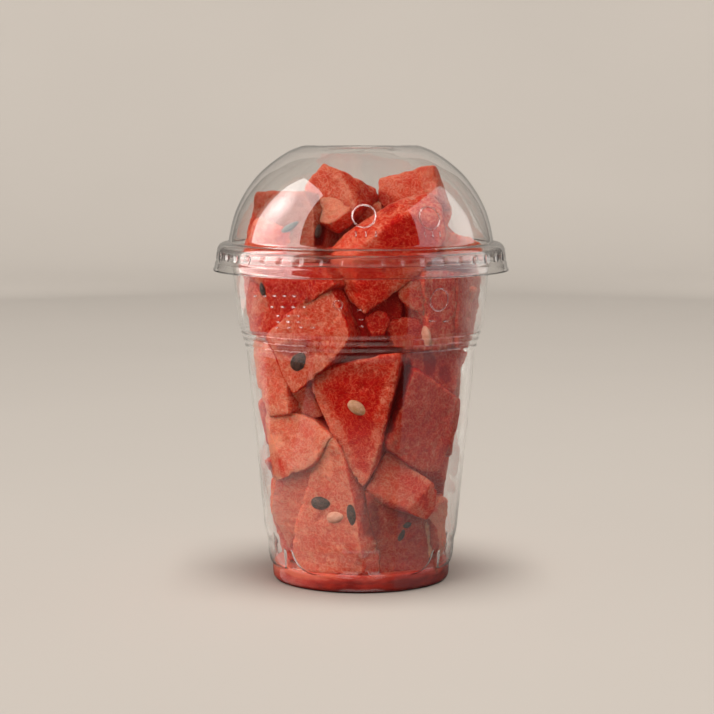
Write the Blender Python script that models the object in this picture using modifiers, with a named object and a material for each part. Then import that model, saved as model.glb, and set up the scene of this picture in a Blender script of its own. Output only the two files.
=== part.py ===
"""Cup of cut watermelon: a clear drinking cup with a clear dome lid, filled with fruit.

Lengths are in metres, +Z is up, and the origin is the middle of the foot ring, on the ground.
The front, which shows the fruit as it is laid out below, faces -Y. Azimuths are measured from
the front, positive towards +X.
"""
import math
import random
from collections import namedtuple

import bmesh
import bpy
from mathutils import Vector
from mathutils.bvhtree import BVHTree

MM = 0.001

# --- Driving dimensions, in millimetres ---------------------------------------------------------
HEIGHT = 145.0            # foot ring to the flat top of the lid
CUP_WALL = 0.6
LID_WALL = 0.5
CLEARANCE = 0.3           # between the cup, its lid and the fruit

FOOT_RADIUS = 29.76       # outside of the foot ring
FOOT_TOP = 5.0
FLAT_INNER = 26.0         # the flat ring that the cup stands on
FLAT_OUTER = 28.6
BASE_RISE = 2.6           # underside of the base panel
BASE_PANEL = 23.0
LOBE_TOP = 14.0           # the step line over the lobes
LOBE_COUNT = 7
LOBE_GROOVE = 1.2         # azimuth in degrees of the groove beside the front
WAIST_RADIUS = 32.45      # outside of the cup just over the step line
WAIST_HEIGHT = 17.2
BODY_RADIUS = 38.2        # outside of the cup under its shoulder band
BODY_TOP = 76.5
SHOULDER_RADIUS = 40.85   # outside of the cup over its shoulder band
SHOULDER_TOP = 85.2
NECK_RADIUS = 43.0        # outside of the cup under its rim
NECK_TOP = 106.4
RIM_MIDDLE = 45.15        # centre of the rolled rim
RIM_HEIGHT = 109.05
RIM_ROLL = 1.75           # radius of the roll, to the middle of its wall

LID_TOP_RADIUS = 19.3
RECESS_RADIUS = 11.8      # shallow round recess in the lid's top
RECESS_DEPTH = 1.2
DOME_BASE = 113.4         # where the dome meets the flange
DOME_RADIUS = 44.1
FLANGE_RADIUS = 47.9      # corner of the flange
FLANGE_HEIGHT = 111.05
SKIRT_RADIUS = 49.3       # lower edge of the skirt, the widest part
SKIRT_BOTTOM = 103.7

ROUND_STEPS = 49          # sides of every turned shape, seven for each lobe

VIEW_OFFSET = -1.3        # the eye that the fruit is laid out for
VIEW_DISTANCE = 688.4
VIEW_HEIGHT = 148.2

FRUIT_BOTTOM = 3.8
HEADROOM = 3.0            # least distance of the fruit from the lid's flat top
BACK_SHRINK = 0.82        # the hidden end of a chunk against its shown face
CORE_GAP = 17.0           # the fruit behind the chunks that show, from the wall
SEED_LENGTH = 7.4
SEED_WIDTH = 4.8
SEED_THICKNESS = 2.4
FRUIT_SEED = 7            # random draws of the chunks behind

# --- The fruit ----------------------------------------------------------------------------------
# A chunk shows one cut face. Its corners are (across, up) in millimetres where the line of sight
# through them meets the cup's middle plane. gap is how far the middle of the face lies behind the
# wall, turn how far it faces to the right and lean how far it faces up, both in degrees, and
# thick is how deep the chunk runs behind its face.
Chunk = namedtuple("Chunk", "name gap turn lean thick corners")
CHUNKS = (
    Chunk("peak_left", 18, 35, 10, 15, ((-12.3, 139.9), (5.3, 130.3), (5.7, 127.0), (-1, 124), (-6, 126))),
    Chunk("under_peak", 10, -5, 0, 13, ((-17.6, 131), (-10, 128.5), (-4.7, 128), (-1, 124.3), (-5, 120),
                                        (-12, 112), (-16.5, 121))),
    Chunk("peak_right", 21, -18, 8, 16, ((6.3, 135), (13, 136.3), (25.3, 139), (24, 128.6), (14, 124),
                                         (5.3, 127))),
    Chunk("slab", 8, 2, -9, 20, ((-10.7, 111.3), (26.6, 126.6), (28.7, 113.7), (13, 102.3), (1, 87.5),
                                  (-6.4, 96.6))),
    Chunk("left_top", 13, -40, 0, 16, ((-35.3, 129.6), (-18.3, 129.6), (-14.3, 122.7), (-13, 106.3),
                                       (-40.4, 106.3), (-38, 121))),
    Chunk("right_low", 6, 45, 18, 14, ((27.3, 117.5), (34, 116), (41.1, 112.7), (41.6, 106), (27.4, 106))),
    Chunk("right_top", 22, 28, 0, 12, ((23.6, 133.6), (28.6, 130), (31, 123.7), (29, 117), (25, 113.7))),
    Chunk("big_left", 2.5, -28, -3, 18, ((-32.5, 81.5), (-10, 97.9), (-7.7, 96.6), (-3.4, 80.1),
                                         (-16.1, 68), (-22.9, 61.2), (-28, 67.3))),
    Chunk("upper_left", 7, -40, 0, 16, ((-38, 106.3), (-14.4, 106.3), (-10.4, 98.6), (-20.4, 90),
                                        (-32, 79), (-38, 84.8))),
    Chunk("middle_dark", 16, 10, 5, 14, ((-6, 95), (13, 96), (14.4, 76), (-4, 76))),
    Chunk("upper_middle", 8, 15, 0, 14, ((9, 93.6), (14.7, 99), (21.1, 97.6), (22, 77), (12, 76))),
    Chunk("upper_right", 4, 40, -3, 12, ((19.7, 104.3), (32.1, 104.3), (32.6, 77), (21.1, 76))),
    Chunk("edge_right", 3, 60, 0, 10, ((32.5, 104.3), (40.8, 104.3), (40.5, 89.5), (36.2, 83.5), (35.2, 76),
                                       (32.2, 76))),
    Chunk("over_heart", 6, 0, 22, 12, ((-12.5, 69.5), (-3, 77), (13.8, 78.5), (13.8, 73), (-10, 67))),
    Chunk("heart", 2.5, 0, -4, 16, ((-16.8, 67.6), (13.8, 76.1), (9.1, 54.7), (1, 29.8), (-7.7, 51.3))),
    Chunk("left_middle", 1.5, -45, 0, 14, ((-37.2, 80), (-29.9, 78.4), (-23.2, 61.2), (-27.3, 50), (-35, 53))),
    Chunk("left_shade", 7, -20, -10, 10, ((-24.5, 62.5), (-17.5, 64.9), (-12.5, 53.7), (-24, 50))),
    Chunk("left_pale", 1.5, -35, 5, 14, ((-35, 55.8), (-24, 53.7), (-14.5, 53.7), (-8.1, 46.2), (-16.2, 36),
                                         (-24.7, 32), (-32.1, 33.3))),
    Chunk("left_under", 5, -45, -10, 12, ((-32.1, 35), (-16.2, 38), (-15.2, 24), (-22, 13.7), (-30.8, 23))),
    Chunk("low_left", 2, -12, 4, 15, ((-16.2, 37.7), (-5.1, 43.5), (-2.7, 24), (1.7, 0.3), (-21.7, 0.3),
                                      (-23.4, 15.4))),
    Chunk("low_side", 4, 35, 0, 10, ((-5.1, 43.5), (1.7, 29.8), (5.8, 0.3), (-0.3, 0.3), (-3, 24))),
    Chunk("right_middle", 2, 35, -5, 16, ((17.5, 73.4), (32, 62.5), (35, 59.8), (32.7, 52.4), (27, 36),
                                          (23.3, 35), (9.6, 44.9))),
    Chunk("right_over", 6, 38, 5, 12, ((14.4, 78), (36.3, 78), (35.3, 71.7), (31.6, 62.5), (16.5, 70))),
    Chunk("low_right", 2, 28, 15, 14, ((8.1, 43.9), (18.3, 35), (27.4, 28.5), (24.7, 17.8), (14.2, 27.1),
                                       (1, 29.8))),
    Chunk("bottom_right", 4.5, 20, -8, 14, ((1.7, 30), (15, 28), (25.4, 19), (26.8, 1.7), (5.8, -0.5))),
    Chunk("bottom_edge", 2, 50, 0, 10, ((27.1, 27.5), (29.5, 20.6), (29.2, 6), (23.4, 5), (21.7, 19))),
)

# Seeds that show: (across, up) as above, tilt in degrees, and how much of the width shows.
SEEDS = (
    (-32.8, 97.6, 90, 0.4), (-20.5, 72.7, 40, 1.0), (-13.5, 25.1, 8, 1.0), (-3.4, 20.2, 80, 0.5),
    (13.9, 13.7, 60, 0.7), (15.6, 17.5, 0, 0.8), (-13.7, 118.3, 20, 0.8), (-9.3, 114.7, 30, 0.5),
    (-23.7, 117.7, 15, 0.8), (-1.3, 57.1, -30, 1.0), (-8.5, 19.9, 5, 1.0), (21.5, 81.8, 85, 1.0),
)

# How far the fruit reaches to the left and right, seen from the front: (height, left, right).
REACH = (
    (0, 22, 27), (10, 24, 29), (24, 30, 29), (36, 33, 28), (54, 35, 33), (62, 35, 34), (68, 36, 31),
    (78, 36, 35), (84, 38, 36), (90, 38, 40), (106, 40, 41), (113, 40, 41), (121, 38, 31), (130, 35, 28),
    (140, 14, 25),
)

# The skyline of the fruit behind, seen from the front: (across, up).
SKYLINE = ((-38, 118), (-30, 126), (-14, 127), (0, 126), (10, 127), (24, 126), (31, 116), (38, 108))

FILL_HEIGHTS = (16, 34, 53, 72, 91, 110)      # middle heights of the rings of chunks behind
FILL_STEP = 36                                # degrees between two of them in a ring
FILL_FIRST = 84                               # azimuth of the first, past the ones that show
WALL_CHUNK_REACH = (13, 18)                   # from the middle of such a chunk to its corners
WALL_CHUNK_GAP = (2, 6)                       # from the wall to the middle of its face
TOP_SIZE = (24, 32)                           # side of a chunk on top
TOP_FILL = ((-22, 10, 114), (-4, 20, 114), (14, 12, 116), (24, -2, 110), (-2, -2, 117), (-26, -8, 110))


def blend(rows, at, column=1):
    """The value in a column of rows at a place in their first column, by straight lines."""
    if at <= rows[0][0]:
        return rows[0][column]
    for low, high in zip(rows, rows[1:]):
        if at <= high[0]:
            share = (at - low[0]) / (high[0] - low[0])
            return low[column] + share * (high[column] - low[column])
    return rows[-1][column]


# --- Profiles, in millimetres: (radius, height) of the middle of the wall -------------------------
def rim_roll():
    """The rolled rim, from its free lower edge over the top to the neck."""
    start, end, steps = -60, 200, 6
    angles = [math.radians(start + (end - start) * i / steps) for i in range(steps + 1)]
    return [(RIM_MIDDLE + RIM_ROLL * math.cos(a), RIM_HEIGHT + RIM_ROLL * math.sin(a)) for a in angles]


def cup_outside():
    """The cup's outside from its neck down to the middle of its base."""
    shoulder = SHOULDER_TOP - BODY_TOP
    step = SHOULDER_RADIUS - BODY_RADIUS
    lobe = FOOT_RADIUS + 1.75
    return [
        (NECK_RADIUS, NECK_TOP),
        (SHOULDER_RADIUS, SHOULDER_TOP),
        (SHOULDER_RADIUS - 0.4 * step, SHOULDER_TOP - 0.35 * shoulder),
        (BODY_RADIUS + 0.2 * step, SHOULDER_TOP - 0.75 * shoulder),
        (BODY_RADIUS, BODY_TOP),
        (WAIST_RADIUS, WAIST_HEIGHT),
        (WAIST_RADIUS - 0.5, LOBE_TOP + 0.6),
        (lobe, LOBE_TOP - 0.6),
        (lobe - 0.3, 8.6),
        (lobe - 0.8, 6.4),
        (FOOT_RADIUS + 0.1, FOOT_TOP + 0.2),
        (FOOT_RADIUS, FOOT_TOP - 0.6),
        (FOOT_RADIUS, 1.4),
        (FOOT_RADIUS - 0.4, 0.45),
        (FLAT_OUTER, 0.0),
        (FLAT_INNER, 0.0),
        (BASE_PANEL + 1.6, 0.7),
        (BASE_PANEL, BASE_RISE),
        (0.0, BASE_RISE),
    ]


def inset(points, distance):
    """A profile that runs down the outer side, moved in by a distance square to its own run."""
    moved = []
    for i, (r, z) in enumerate(points):
        before = Vector(points[max(i - 1, 0)])
        after = Vector(points[min(i + 1, len(points) - 1)])
        here = Vector((r, z))
        normals = []
        for a, b in ((before, here), (here, after)):
            if (b - a).length > 0:
                run = (b - a).normalized()
                normals.append(Vector((run.y, -run.x)))
        middle = sum(normals, Vector((0, 0))).normalized()
        reach = distance / max(middle.dot(normals[0]), 0.5)
        moved.append((max(r + middle.x * reach, 0.0) if r > 0 else 0.0, z + middle.y * reach))
    return moved


def dome_radius(height):
    """Outside radius of the dome: nearly a ball, a little flatter over its shoulder."""
    rows = ((DOME_BASE, 44.1), (116.7, 43.5), (120, 42.7), (123.4, 41.6), (126.7, 40.1), (130, 38.2),
            (133.4, 35.8), (136.7, 32.8), (140.3, 28.4), (142.3, 25.4), (143.6, 23.0), (HEIGHT, 19.3))
    return blend(rows, height)


def lid_outside():
    """The lid's outside from the middle of its top to the lower edge of its skirt."""
    dome = [(dome_radius(z), z) for z in (143.6, 142.3, 140.3, 136.7, 133.4, 130, 126, 120)]
    return [
        (0.0, HEIGHT - RECESS_DEPTH),
        (RECESS_RADIUS - 0.8, HEIGHT - RECESS_DEPTH),
        (RECESS_RADIUS, HEIGHT),
        (LID_TOP_RADIUS, HEIGHT),
        *dome,
        (DOME_RADIUS, DOME_BASE),
        (FLANGE_RADIUS - 1.5, FLANGE_HEIGHT + 1.3),
        (FLANGE_RADIUS, FLANGE_HEIGHT),
        (FLANGE_RADIUS + 0.3, FLANGE_HEIGHT - 3.4),
        (SKIRT_RADIUS - 0.6, SKIRT_BOTTOM + 2),
        (SKIRT_RADIUS, SKIRT_BOTTOM),
    ]


def wall_radius(height):
    """Inside radius of the cup, and over its rim of the lid."""
    if height > NECK_TOP:
        return min(dome_radius(max(height, DOME_BASE)) - LID_WALL, NECK_RADIUS - CUP_WALL)
    side = [(z, r) for r, z in reversed(cup_outside()) if z > LOBE_TOP]
    grooves = ((FOOT_TOP, FOOT_RADIUS), (9.5, FOOT_RADIUS), (LOBE_TOP, WAIST_RADIUS - 1.4))
    if height <= LOBE_TOP:
        return blend(grooves, height) - CUP_WALL
    return blend(side, height) - CUP_WALL


# --- Building blocks ----------------------------------------------------------------------------
def clear_scene():
    for obj in list(bpy.data.objects):
        bpy.data.objects.remove(obj, do_unlink=True)


def new_collection(name):
    collection = bpy.data.collections.new(name)
    bpy.context.scene.collection.children.link(collection)
    return collection


def new_material(name, colour, roughness, alpha=1.0):
    material = bpy.data.materials.new(name)
    material.use_nodes = True
    shader = material.node_tree.nodes["Principled BSDF"]
    shader.inputs["Base Color"].default_value = (*colour, 1.0)
    shader.inputs["Roughness"].default_value = roughness
    shader.inputs["Metallic"].default_value = 0.0
    shader.inputs["Alpha"].default_value = alpha
    return material


def new_object(name, mesh, collection, material=None):
    obj = bpy.data.objects.new(name, mesh)
    collection.objects.link(obj)
    if material is not None:
        mesh.materials.append(material)
    return obj


def evaluated_mesh(obj):
    graph = bpy.context.evaluated_depsgraph_get()
    return bpy.data.meshes.new_from_object(obj.evaluated_get(graph))


def turned(name, profile, collection):
    """A profile in millimetres turned round Z, as an object with its Screw applied."""
    mesh = bpy.data.meshes.new(name + "_profile")
    points = [(r * MM, 0.0, z * MM) for r, z in profile]
    mesh.from_pydata(points, [(i, i + 1) for i in range(len(points) - 1)], [])
    obj = new_object(name, mesh, collection)
    screw = obj.modifiers.new("turn", "SCREW")
    screw.steps = ROUND_STEPS
    screw.render_steps = ROUND_STEPS
    screw.use_merge_vertices = True
    screw.merge_threshold = 0.0001
    solid = evaluated_mesh(obj)
    obj.modifiers.remove(screw)
    obj.data = solid
    return obj


def thicken(obj, wall):
    shell = obj.modifiers.new("wall", "SOLIDIFY")
    shell.thickness = wall * MM
    shell.offset = 0.0
    shell.use_even_offset = True


def smooth(obj, angle=35):
    obj.data.shade_smooth()
    obj.data.set_sharp_from_angle(angle=math.radians(angle))


def face_front(obj):
    """Turns a mesh so that a groove between two lobes, at its first seam, lies by the front."""
    obj.rotation_euler.z = math.radians(LOBE_GROOVE - 90)


# --- Cup and lid --------------------------------------------------------------------------------
def groove_depth(height):
    """How deep the wall is pressed in between two lobes, in millimetres."""
    return blend(((FOOT_TOP, 0.0), (6.4, 1.1), (8.6, 1.35), (LOBE_TOP - 0.6, 0.2), (LOBE_TOP, 0.0)), height)


def press_lobes(mesh):
    """Presses the grooves between the lobes into the wall over the foot ring."""
    pitch = 2 * math.pi / LOBE_COUNT
    for vertex in mesh.vertices:
        x, y, z = vertex.co
        radius = math.hypot(x, y)
        off = math.remainder(math.atan2(y, x), pitch)
        if FOOT_TOP < z / MM < LOBE_TOP and radius > FOOT_RADIUS * MM * 0.95 and abs(off) < 0.01:
            pressed = radius - groove_depth(z / MM) * MM
            vertex.co.x, vertex.co.y = x * pressed / radius, y * pressed / radius


def build_cup(collection, material):
    middle = inset(cup_outside(), CUP_WALL / 2)
    cup = turned("cup", rim_roll() + middle, collection)
    cup.data.materials.append(material)
    press_lobes(cup.data)
    face_front(cup)
    thicken(cup, CUP_WALL)
    smooth(cup)
    return cup


def build_lid(collection, material):
    lid = turned("lid", inset(lid_outside(), LID_WALL / 2), collection)
    lid.data.materials.append(material)
    face_front(lid)
    thicken(lid, LID_WALL)
    smooth(lid)
    return lid


# --- Fruit --------------------------------------------------------------------------------------
def eye():
    return Vector((VIEW_OFFSET, -VIEW_DISTANCE, VIEW_HEIGHT))


def sight(across, up):
    """The direction from the eye through a point of the cup's middle plane."""
    return (Vector((across, 0.0, up)) - eye()).normalized()


def face_normal(turn, lean):
    turn, lean = math.radians(turn), math.radians(lean)
    return Vector((math.sin(turn) * math.cos(lean), -math.cos(turn) * math.cos(lean), math.sin(lean)))


def chunk_points(chunk):
    """The corners of a chunk that shows, in millimetres: its face, and the hidden end behind it."""
    across = sum(x for x, _ in chunk.corners) / len(chunk.corners)
    up = sum(z for _, z in chunk.corners) / len(chunk.corners)
    wall = math.sqrt(max(wall_radius(up) ** 2 - across ** 2, 25.0))
    ray = sight(across, up)
    middle = eye() + ray * ((VIEW_DISTANCE - wall + chunk.gap) / ray.y)
    normal = face_normal(chunk.turn, chunk.lean)
    face = []
    for corner in chunk.corners:
        ray = sight(*corner)
        face.append(eye() + ray * ((middle - eye()).dot(normal) / ray.dot(normal)))
    centre = sum(face, Vector()) / len(face)
    behind = [centre + (p - centre) * BACK_SHRINK - normal * chunk.thick for p in face]
    return face + behind


def keep_behind(point):
    """Moves a corner of a chunk behind to within what shows from the front."""
    left, right = blend(REACH, point.z, 1), blend(REACH, point.z, 2)
    point.x = min(max(point.x, -left), right)
    skyline = blend(SKYLINE, point.x) - 0.02 * point.y
    point.z = min(max(point.z, FRUIT_BOTTOM), skyline)
    return point


def wall_chunk_points(azimuth, height, draw):
    """The corners of a chunk behind, which shows a cut face of three to five sides at the wall."""
    sides = draw.choice((3, 4, 4, 5))
    reach = draw.uniform(*WALL_CHUNK_REACH)
    angle = math.radians(azimuth)
    radius = wall_radius(height) - draw.uniform(*WALL_CHUNK_GAP)
    centre = Vector((radius * math.sin(angle), -radius * math.cos(angle), height))
    tilt = draw.uniform(-14, 14) + max(0.0, height - DOME_BASE + 8) * 2.5
    normal = face_normal(azimuth + draw.uniform(-14, 14), tilt)
    side = normal.cross(Vector((0, 0, 1))).normalized()
    up = side.cross(normal)
    roll = draw.uniform(0, 2 * math.pi)
    face = []
    for i in range(sides):
        around = roll + 2 * math.pi * (i + draw.uniform(-0.16, 0.16)) / sides
        out = reach * draw.uniform(0.86, 1.12)
        face.append(centre + (side * math.cos(around) + up * math.sin(around)) * out)
    thick = draw.uniform(13, 19)
    behind = [centre + (p - centre) * BACK_SHRINK - normal * thick for p in face]
    return [keep_behind(p) for p in face + behind]


def block_points(place, size, draw):
    """The corners of a chunk on top: a block cut askew."""
    normal = face_normal(draw.uniform(0, 360), draw.uniform(-35, 35))
    side = normal.cross(Vector((0, 0, 1))).normalized()
    up = side.cross(normal)
    points = []
    for a in (-1, 1):
        for b in (-1, 1):
            for c in (-1, 1):
                slant = draw.uniform(0.72, 1.0) * size / 2
                points.append(keep_behind(place + (side * a + up * b + normal * c) * slant))
    return points


def fill_chunks():
    """The corners of every chunk behind, ring by ring, then of those on top."""
    draw = random.Random(FRUIT_SEED)
    chunks = []
    for level, height in enumerate(FILL_HEIGHTS):
        azimuth = FILL_FIRST + (level % 2) * FILL_STEP / 2
        while azimuth <= 360 - FILL_FIRST:
            chunks.append(wall_chunk_points(azimuth, height + draw.uniform(-3, 3), draw))
            azimuth += FILL_STEP
    for place in TOP_FILL:
        chunks.append(block_points(Vector(place), draw.uniform(*TOP_SIZE), draw))
    return chunks


def hull_object(name, points, collection):
    """A closed block round its corners, given in millimetres."""
    shape = bmesh.new()
    for point in points:
        shape.verts.new(point * MM)
    bmesh.ops.convex_hull(shape, input=shape.verts)
    loose = [v for v in shape.verts if not v.link_faces]
    bmesh.ops.delete(shape, geom=loose, context="VERTS")
    bmesh.ops.recalc_face_normals(shape, faces=shape.faces)
    mesh = bpy.data.meshes.new(name)
    shape.to_mesh(mesh)
    shape.free()
    return new_object(name, mesh, collection)


def envelope_profile(gap, top):
    """Down the outside of the space in the cup and lid, a gap inside their walls."""
    heights = (138, 134, 130, 124, 118, DOME_BASE, NECK_TOP, SHOULDER_TOP, 81, BODY_TOP, 46, WAIST_HEIGHT,
               LOBE_TOP, 9, FOOT_TOP)
    side = [(wall_radius(z) - gap, z) for z in heights if z < top]
    roof = (wall_radius(top) - gap, top)
    return [(0.0, top), roof, *side, (side[-1][0], FRUIT_BOTTOM), (0.0, FRUIT_BOTTOM)]


def seed_object(name, hit, normal, tilt, shown, collection):
    """A flat seed half sunk in the face that it lies on."""
    shape = bmesh.new()
    bmesh.ops.create_uvsphere(shape, u_segments=6, v_segments=4, radius=0.5)
    tilt = math.radians(tilt)
    along = Vector((math.cos(tilt), 0.0, math.sin(tilt)))
    along = (along - normal * along.dot(normal)).normalized()
    across = normal.cross(along)
    for vertex in shape.verts:
        x, y, z = vertex.co
        vertex.co = hit + (along * z * SEED_LENGTH + across * x * SEED_WIDTH * shown
                           + normal * y * SEED_THICKNESS) * MM
    mesh = bpy.data.meshes.new(name)
    shape.to_mesh(mesh)
    shape.free()
    return new_object(name, mesh, collection)


def lay_seeds(ground, collection):
    """Seeds on the first fruit met along their lines of sight."""
    tree = BVHTree.FromObject(ground, bpy.context.evaluated_depsgraph_get())
    for i, (across, up, tilt, shown) in enumerate(SEEDS):
        hit, normal, _, _ = tree.ray_cast(eye() * MM, sight(across, up))
        if hit is not None:
            seed_object(f"seed_{i}", hit, normal, tilt, shown, collection)


def join(obj, operand, operation, solver, collection=None):
    """One Boolean with an object or a collection, applied."""
    boolean = obj.modifiers.new("join", "BOOLEAN")
    boolean.operation = operation
    boolean.solver = solver
    if collection is None:
        boolean.object = operand
    else:
        boolean.operand_type = "COLLECTION"
        boolean.collection = collection
    mesh = evaluated_mesh(obj)
    obj.modifiers.remove(boolean)
    obj.data = mesh


def empty_collection(collection):
    for obj in list(collection.objects):
        bpy.data.objects.remove(obj, do_unlink=True)


def islands(shape):
    """The faces of each piece of a bmesh that hangs together over its edges."""
    left = set(shape.faces)
    while left:
        rim = [left.pop()]
        island = []
        while rim:
            face = rim.pop()
            island.append(face)
            for edge in face.edges:
                for other in edge.link_faces:
                    if other in left:
                        left.remove(other)
                        rim.append(other)
        yield island


def keep_largest(obj):
    """Drops loose scraps, and sealed hollows with them, so that one closed body stays."""
    shape = bmesh.new()
    shape.from_mesh(obj.data)
    bmesh.ops.triangulate(shape, faces=shape.faces)
    pieces = sorted(islands(shape), key=len)
    scraps = [face for island in pieces[:-1] for face in island]
    bmesh.ops.delete(shape, geom=scraps, context="FACES")
    shape.to_mesh(obj.data)
    shape.free()


def cut_to_space(heap, tools):
    """Keeps only what lies in the space of the cup and lid."""
    space = turned("space", envelope_profile(CLEARANCE, HEIGHT - RECESS_DEPTH - HEADROOM), tools)
    join(heap, space, "INTERSECT", "MANIFOLD")
    empty_collection(tools)


def build_fruit(collection, tools, material):
    """The heap of chunks: a core, the chunks fused on, cut to the space in the cup, and seeds."""
    core = turned("watermelon", envelope_profile(CORE_GAP, 112.0), collection)
    for chunk in CHUNKS:
        hull_object(chunk.name, chunk_points(chunk), tools)
    for i, points in enumerate(fill_chunks()):
        hull_object(f"fill_{i}", points, tools)
    join(core, None, "UNION", "MANIFOLD", tools)
    empty_collection(tools)
    cut_to_space(core, tools)
    lay_seeds(core, tools)
    join(core, None, "UNION", "MANIFOLD", tools)
    empty_collection(tools)
    cut_to_space(core, tools)
    keep_largest(core)
    core.data.materials.clear()
    core.data.materials.append(material)
    return core


def main():
    clear_scene()
    parts = new_collection("watermelon_cup")
    tools = new_collection("cutters")
    clear_plastic = new_material("clear_plastic", (0.86, 0.84, 0.81), 0.06, 0.35)
    lid_plastic = new_material("lid_plastic", (0.88, 0.86, 0.83), 0.06, 0.35)
    flesh = new_material("watermelon_flesh", (0.62, 0.09, 0.06), 0.4)
    build_cup(parts, clear_plastic)
    build_lid(parts, lid_plastic)
    build_fruit(parts, tools, flesh)


main()
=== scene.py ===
"""Looks of the watermelon cup: clear cup and dome lid, chunks of melon with seeds, and juice.

Lengths are in millimetres in the tables and functions below, and become metres where a mesh is
made. +Z is up, the front faces -Y, and azimuths are measured from the front towards +X.
"""
import math
import random
from collections import namedtuple

import bmesh
import bpy
import numpy as np
from mathutils import Matrix, Vector
from mathutils.bvhtree import BVHTree


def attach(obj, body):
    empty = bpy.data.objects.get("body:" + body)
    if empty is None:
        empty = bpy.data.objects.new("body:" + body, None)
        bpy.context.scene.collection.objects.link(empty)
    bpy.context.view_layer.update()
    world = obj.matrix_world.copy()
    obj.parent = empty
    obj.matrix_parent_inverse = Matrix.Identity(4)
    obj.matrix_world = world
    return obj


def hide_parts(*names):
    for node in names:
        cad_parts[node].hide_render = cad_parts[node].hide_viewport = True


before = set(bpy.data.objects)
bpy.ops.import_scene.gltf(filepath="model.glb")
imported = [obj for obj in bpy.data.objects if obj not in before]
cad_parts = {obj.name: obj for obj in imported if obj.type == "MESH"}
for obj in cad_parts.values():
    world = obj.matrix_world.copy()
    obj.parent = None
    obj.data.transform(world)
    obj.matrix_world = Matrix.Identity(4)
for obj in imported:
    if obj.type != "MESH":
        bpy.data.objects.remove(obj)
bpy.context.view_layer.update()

MM = 0.001

# --- Sizes shared with the solids, in millimetres -----------------------------------------------
HEIGHT = 145.0
CUP_WALL = 0.6
LID_WALL = 0.5
FOOT_RADIUS = 29.76
FOOT_TOP = 5.0
FLAT_INNER = 26.0
FLAT_OUTER = 28.6
BASE_RISE = 2.6
BASE_PANEL = 23.0
LOBE_TOP = 14.0
LOBE_COUNT = 7
LOBE_GROOVE = 1.2
WAIST_RADIUS = 32.45
WAIST_HEIGHT = 17.2
BODY_RADIUS = 38.2
BODY_TOP = 76.5
SHOULDER_RADIUS = 40.85
SHOULDER_TOP = 85.2
NECK_RADIUS = 43.0
NECK_TOP = 106.4
RIM_MIDDLE = 45.15
RIM_HEIGHT = 109.05
RIM_ROLL = 1.75
LID_TOP_RADIUS = 19.3
RECESS_RADIUS = 11.8
RECESS_DEPTH = 0.6         # the solid's is deeper
DOME_BASE = 113.4
FLANGE_RADIUS = 47.9
FLANGE_HEIGHT = 111.05
SKIRT_RADIUS = 49.3
SKIRT_BOTTOM = 103.7
FRUIT_BOTTOM = 3.8
BACK_SHRINK = 0.82         # the hidden end of a chunk against its shown face
CORE_GAP = 17.0            # from the wall to the core
FRUIT_SEED = 7             # random draws of the chunks round the back

# --- Finer sizes --------------------------------------------------------------------------------
CUP_STEPS = 350            # columns round the cup, 50 for each lobe
LOBE_FOOT = 5.4
LOBE_BULGE = 1.75          # how far the lobes stand out from the foot ring
LOBE_GROOVE_TOP = 13.2
LOBE_SIDE = 1.5            # how far a lobe's side takes to rise out of its groove
# Corner radii of the lobes left and right of each groove, from the front one round.
LOBE_CORNERS = ((2.4, 3.0), (9.0, 3.0), (4.0, 3.0), (4.0, 3.0), (3.0, 4.0), (3.0, 4.0), (3.0, 10.0))
LUG_COUNT = 44             # snap lugs pressed into the lid's skirt
LUG_STEPS = 10             # columns for each lug
LUG_CROWDING = 0.11        # how much closer columns stand by the lugs
LUG_AZIMUTH = 0.6
LUG_HEIGHTS = (107.6, 110.1)
LUG_WIDTH = 1.5
LUG_DEPTH = 0.55
LUG_INNER = 46.0           # the lugs lie outside this radius
ROLL_TURN = (-60, 200)     # the rim's roll, in degrees from outwards
BAND_GROOVES = (84.0, 81.9, 79.8)    # fine grooves in the shoulder band
BAND_GROOVE_DEPTH = 0.3
BAND_GROOVE_WIDTH = 0.42
VOXEL_FRONT = 0.6          # mesh size of the chunks that show at the front
VOXEL_BACK = 1.25
PLASTIC_TINT = (0.985, 0.98, 0.975, 1.0)
PLASTIC_ROUGHNESS = 0.02
MILKY_BANDS = ((104.5, 113.6, 0.055), (78.6, 86.0, 0.05))    # (bottom, top, roughness)
BAND_FADE = 1.0
INTO_WALL = 0.12           # how far the fruit that presses on the wall reaches into it
JUICE_LEVEL = 5.9
JUICE_FLOOR = 0.42
JUICE_STEPS = 210
CORE_TOP = 112.0
CORE_STEPS = 90
CORE_DEEP = 0.9
# Below 1 the core is painted dimmer: painted shade in the gaps where it shows.
CORE_SHADE = 0.8
MERGE = 0.00001            # points of seeds and juice nearer than this are one, in metres

# --- Camera, fitted to the photograph -----------------------------------------------------------
VIEW_OFFSET = -1.3
VIEW_DISTANCE = 688.4
VIEW_HEIGHT = 148.2
VIEW_PITCH = 6.12
LENS = 104.0
SENSOR = 36.0

# --- Stage and lights, in metres and watts -------------------------------------------------------
# In front of the cup, the floor's reflection fades out between these radii.
REFLECTED_FLOOR = (0.12, 0.21)
FLOOR_STEPS = 144
CARD_HEIGHTS = (0.06, 1.5)
CARD_STEPS = 24
WALL_LAMPS = 8
LAMP_CENTRE = 0.07
BOX_DISTANCE = 0.62
WARM, COOL = (1.0, 0.96, 0.93), (0.97, 0.98, 1.0)
ROOM_LIGHT = (1.0, 0.96, 0.92)
WORLD_COLOUR = (1.0, 0.97, 0.94, 1.0)
WORLD_STRENGTH = 0.02
FLOOR_COLOUR = (0.52, 0.48, 0.435)
DARK_CARD = (0.16, 0.152, 0.144)
GREY_CARD = (0.55, 0.50, 0.445)
GREY_GLOW = 0.6
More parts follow.
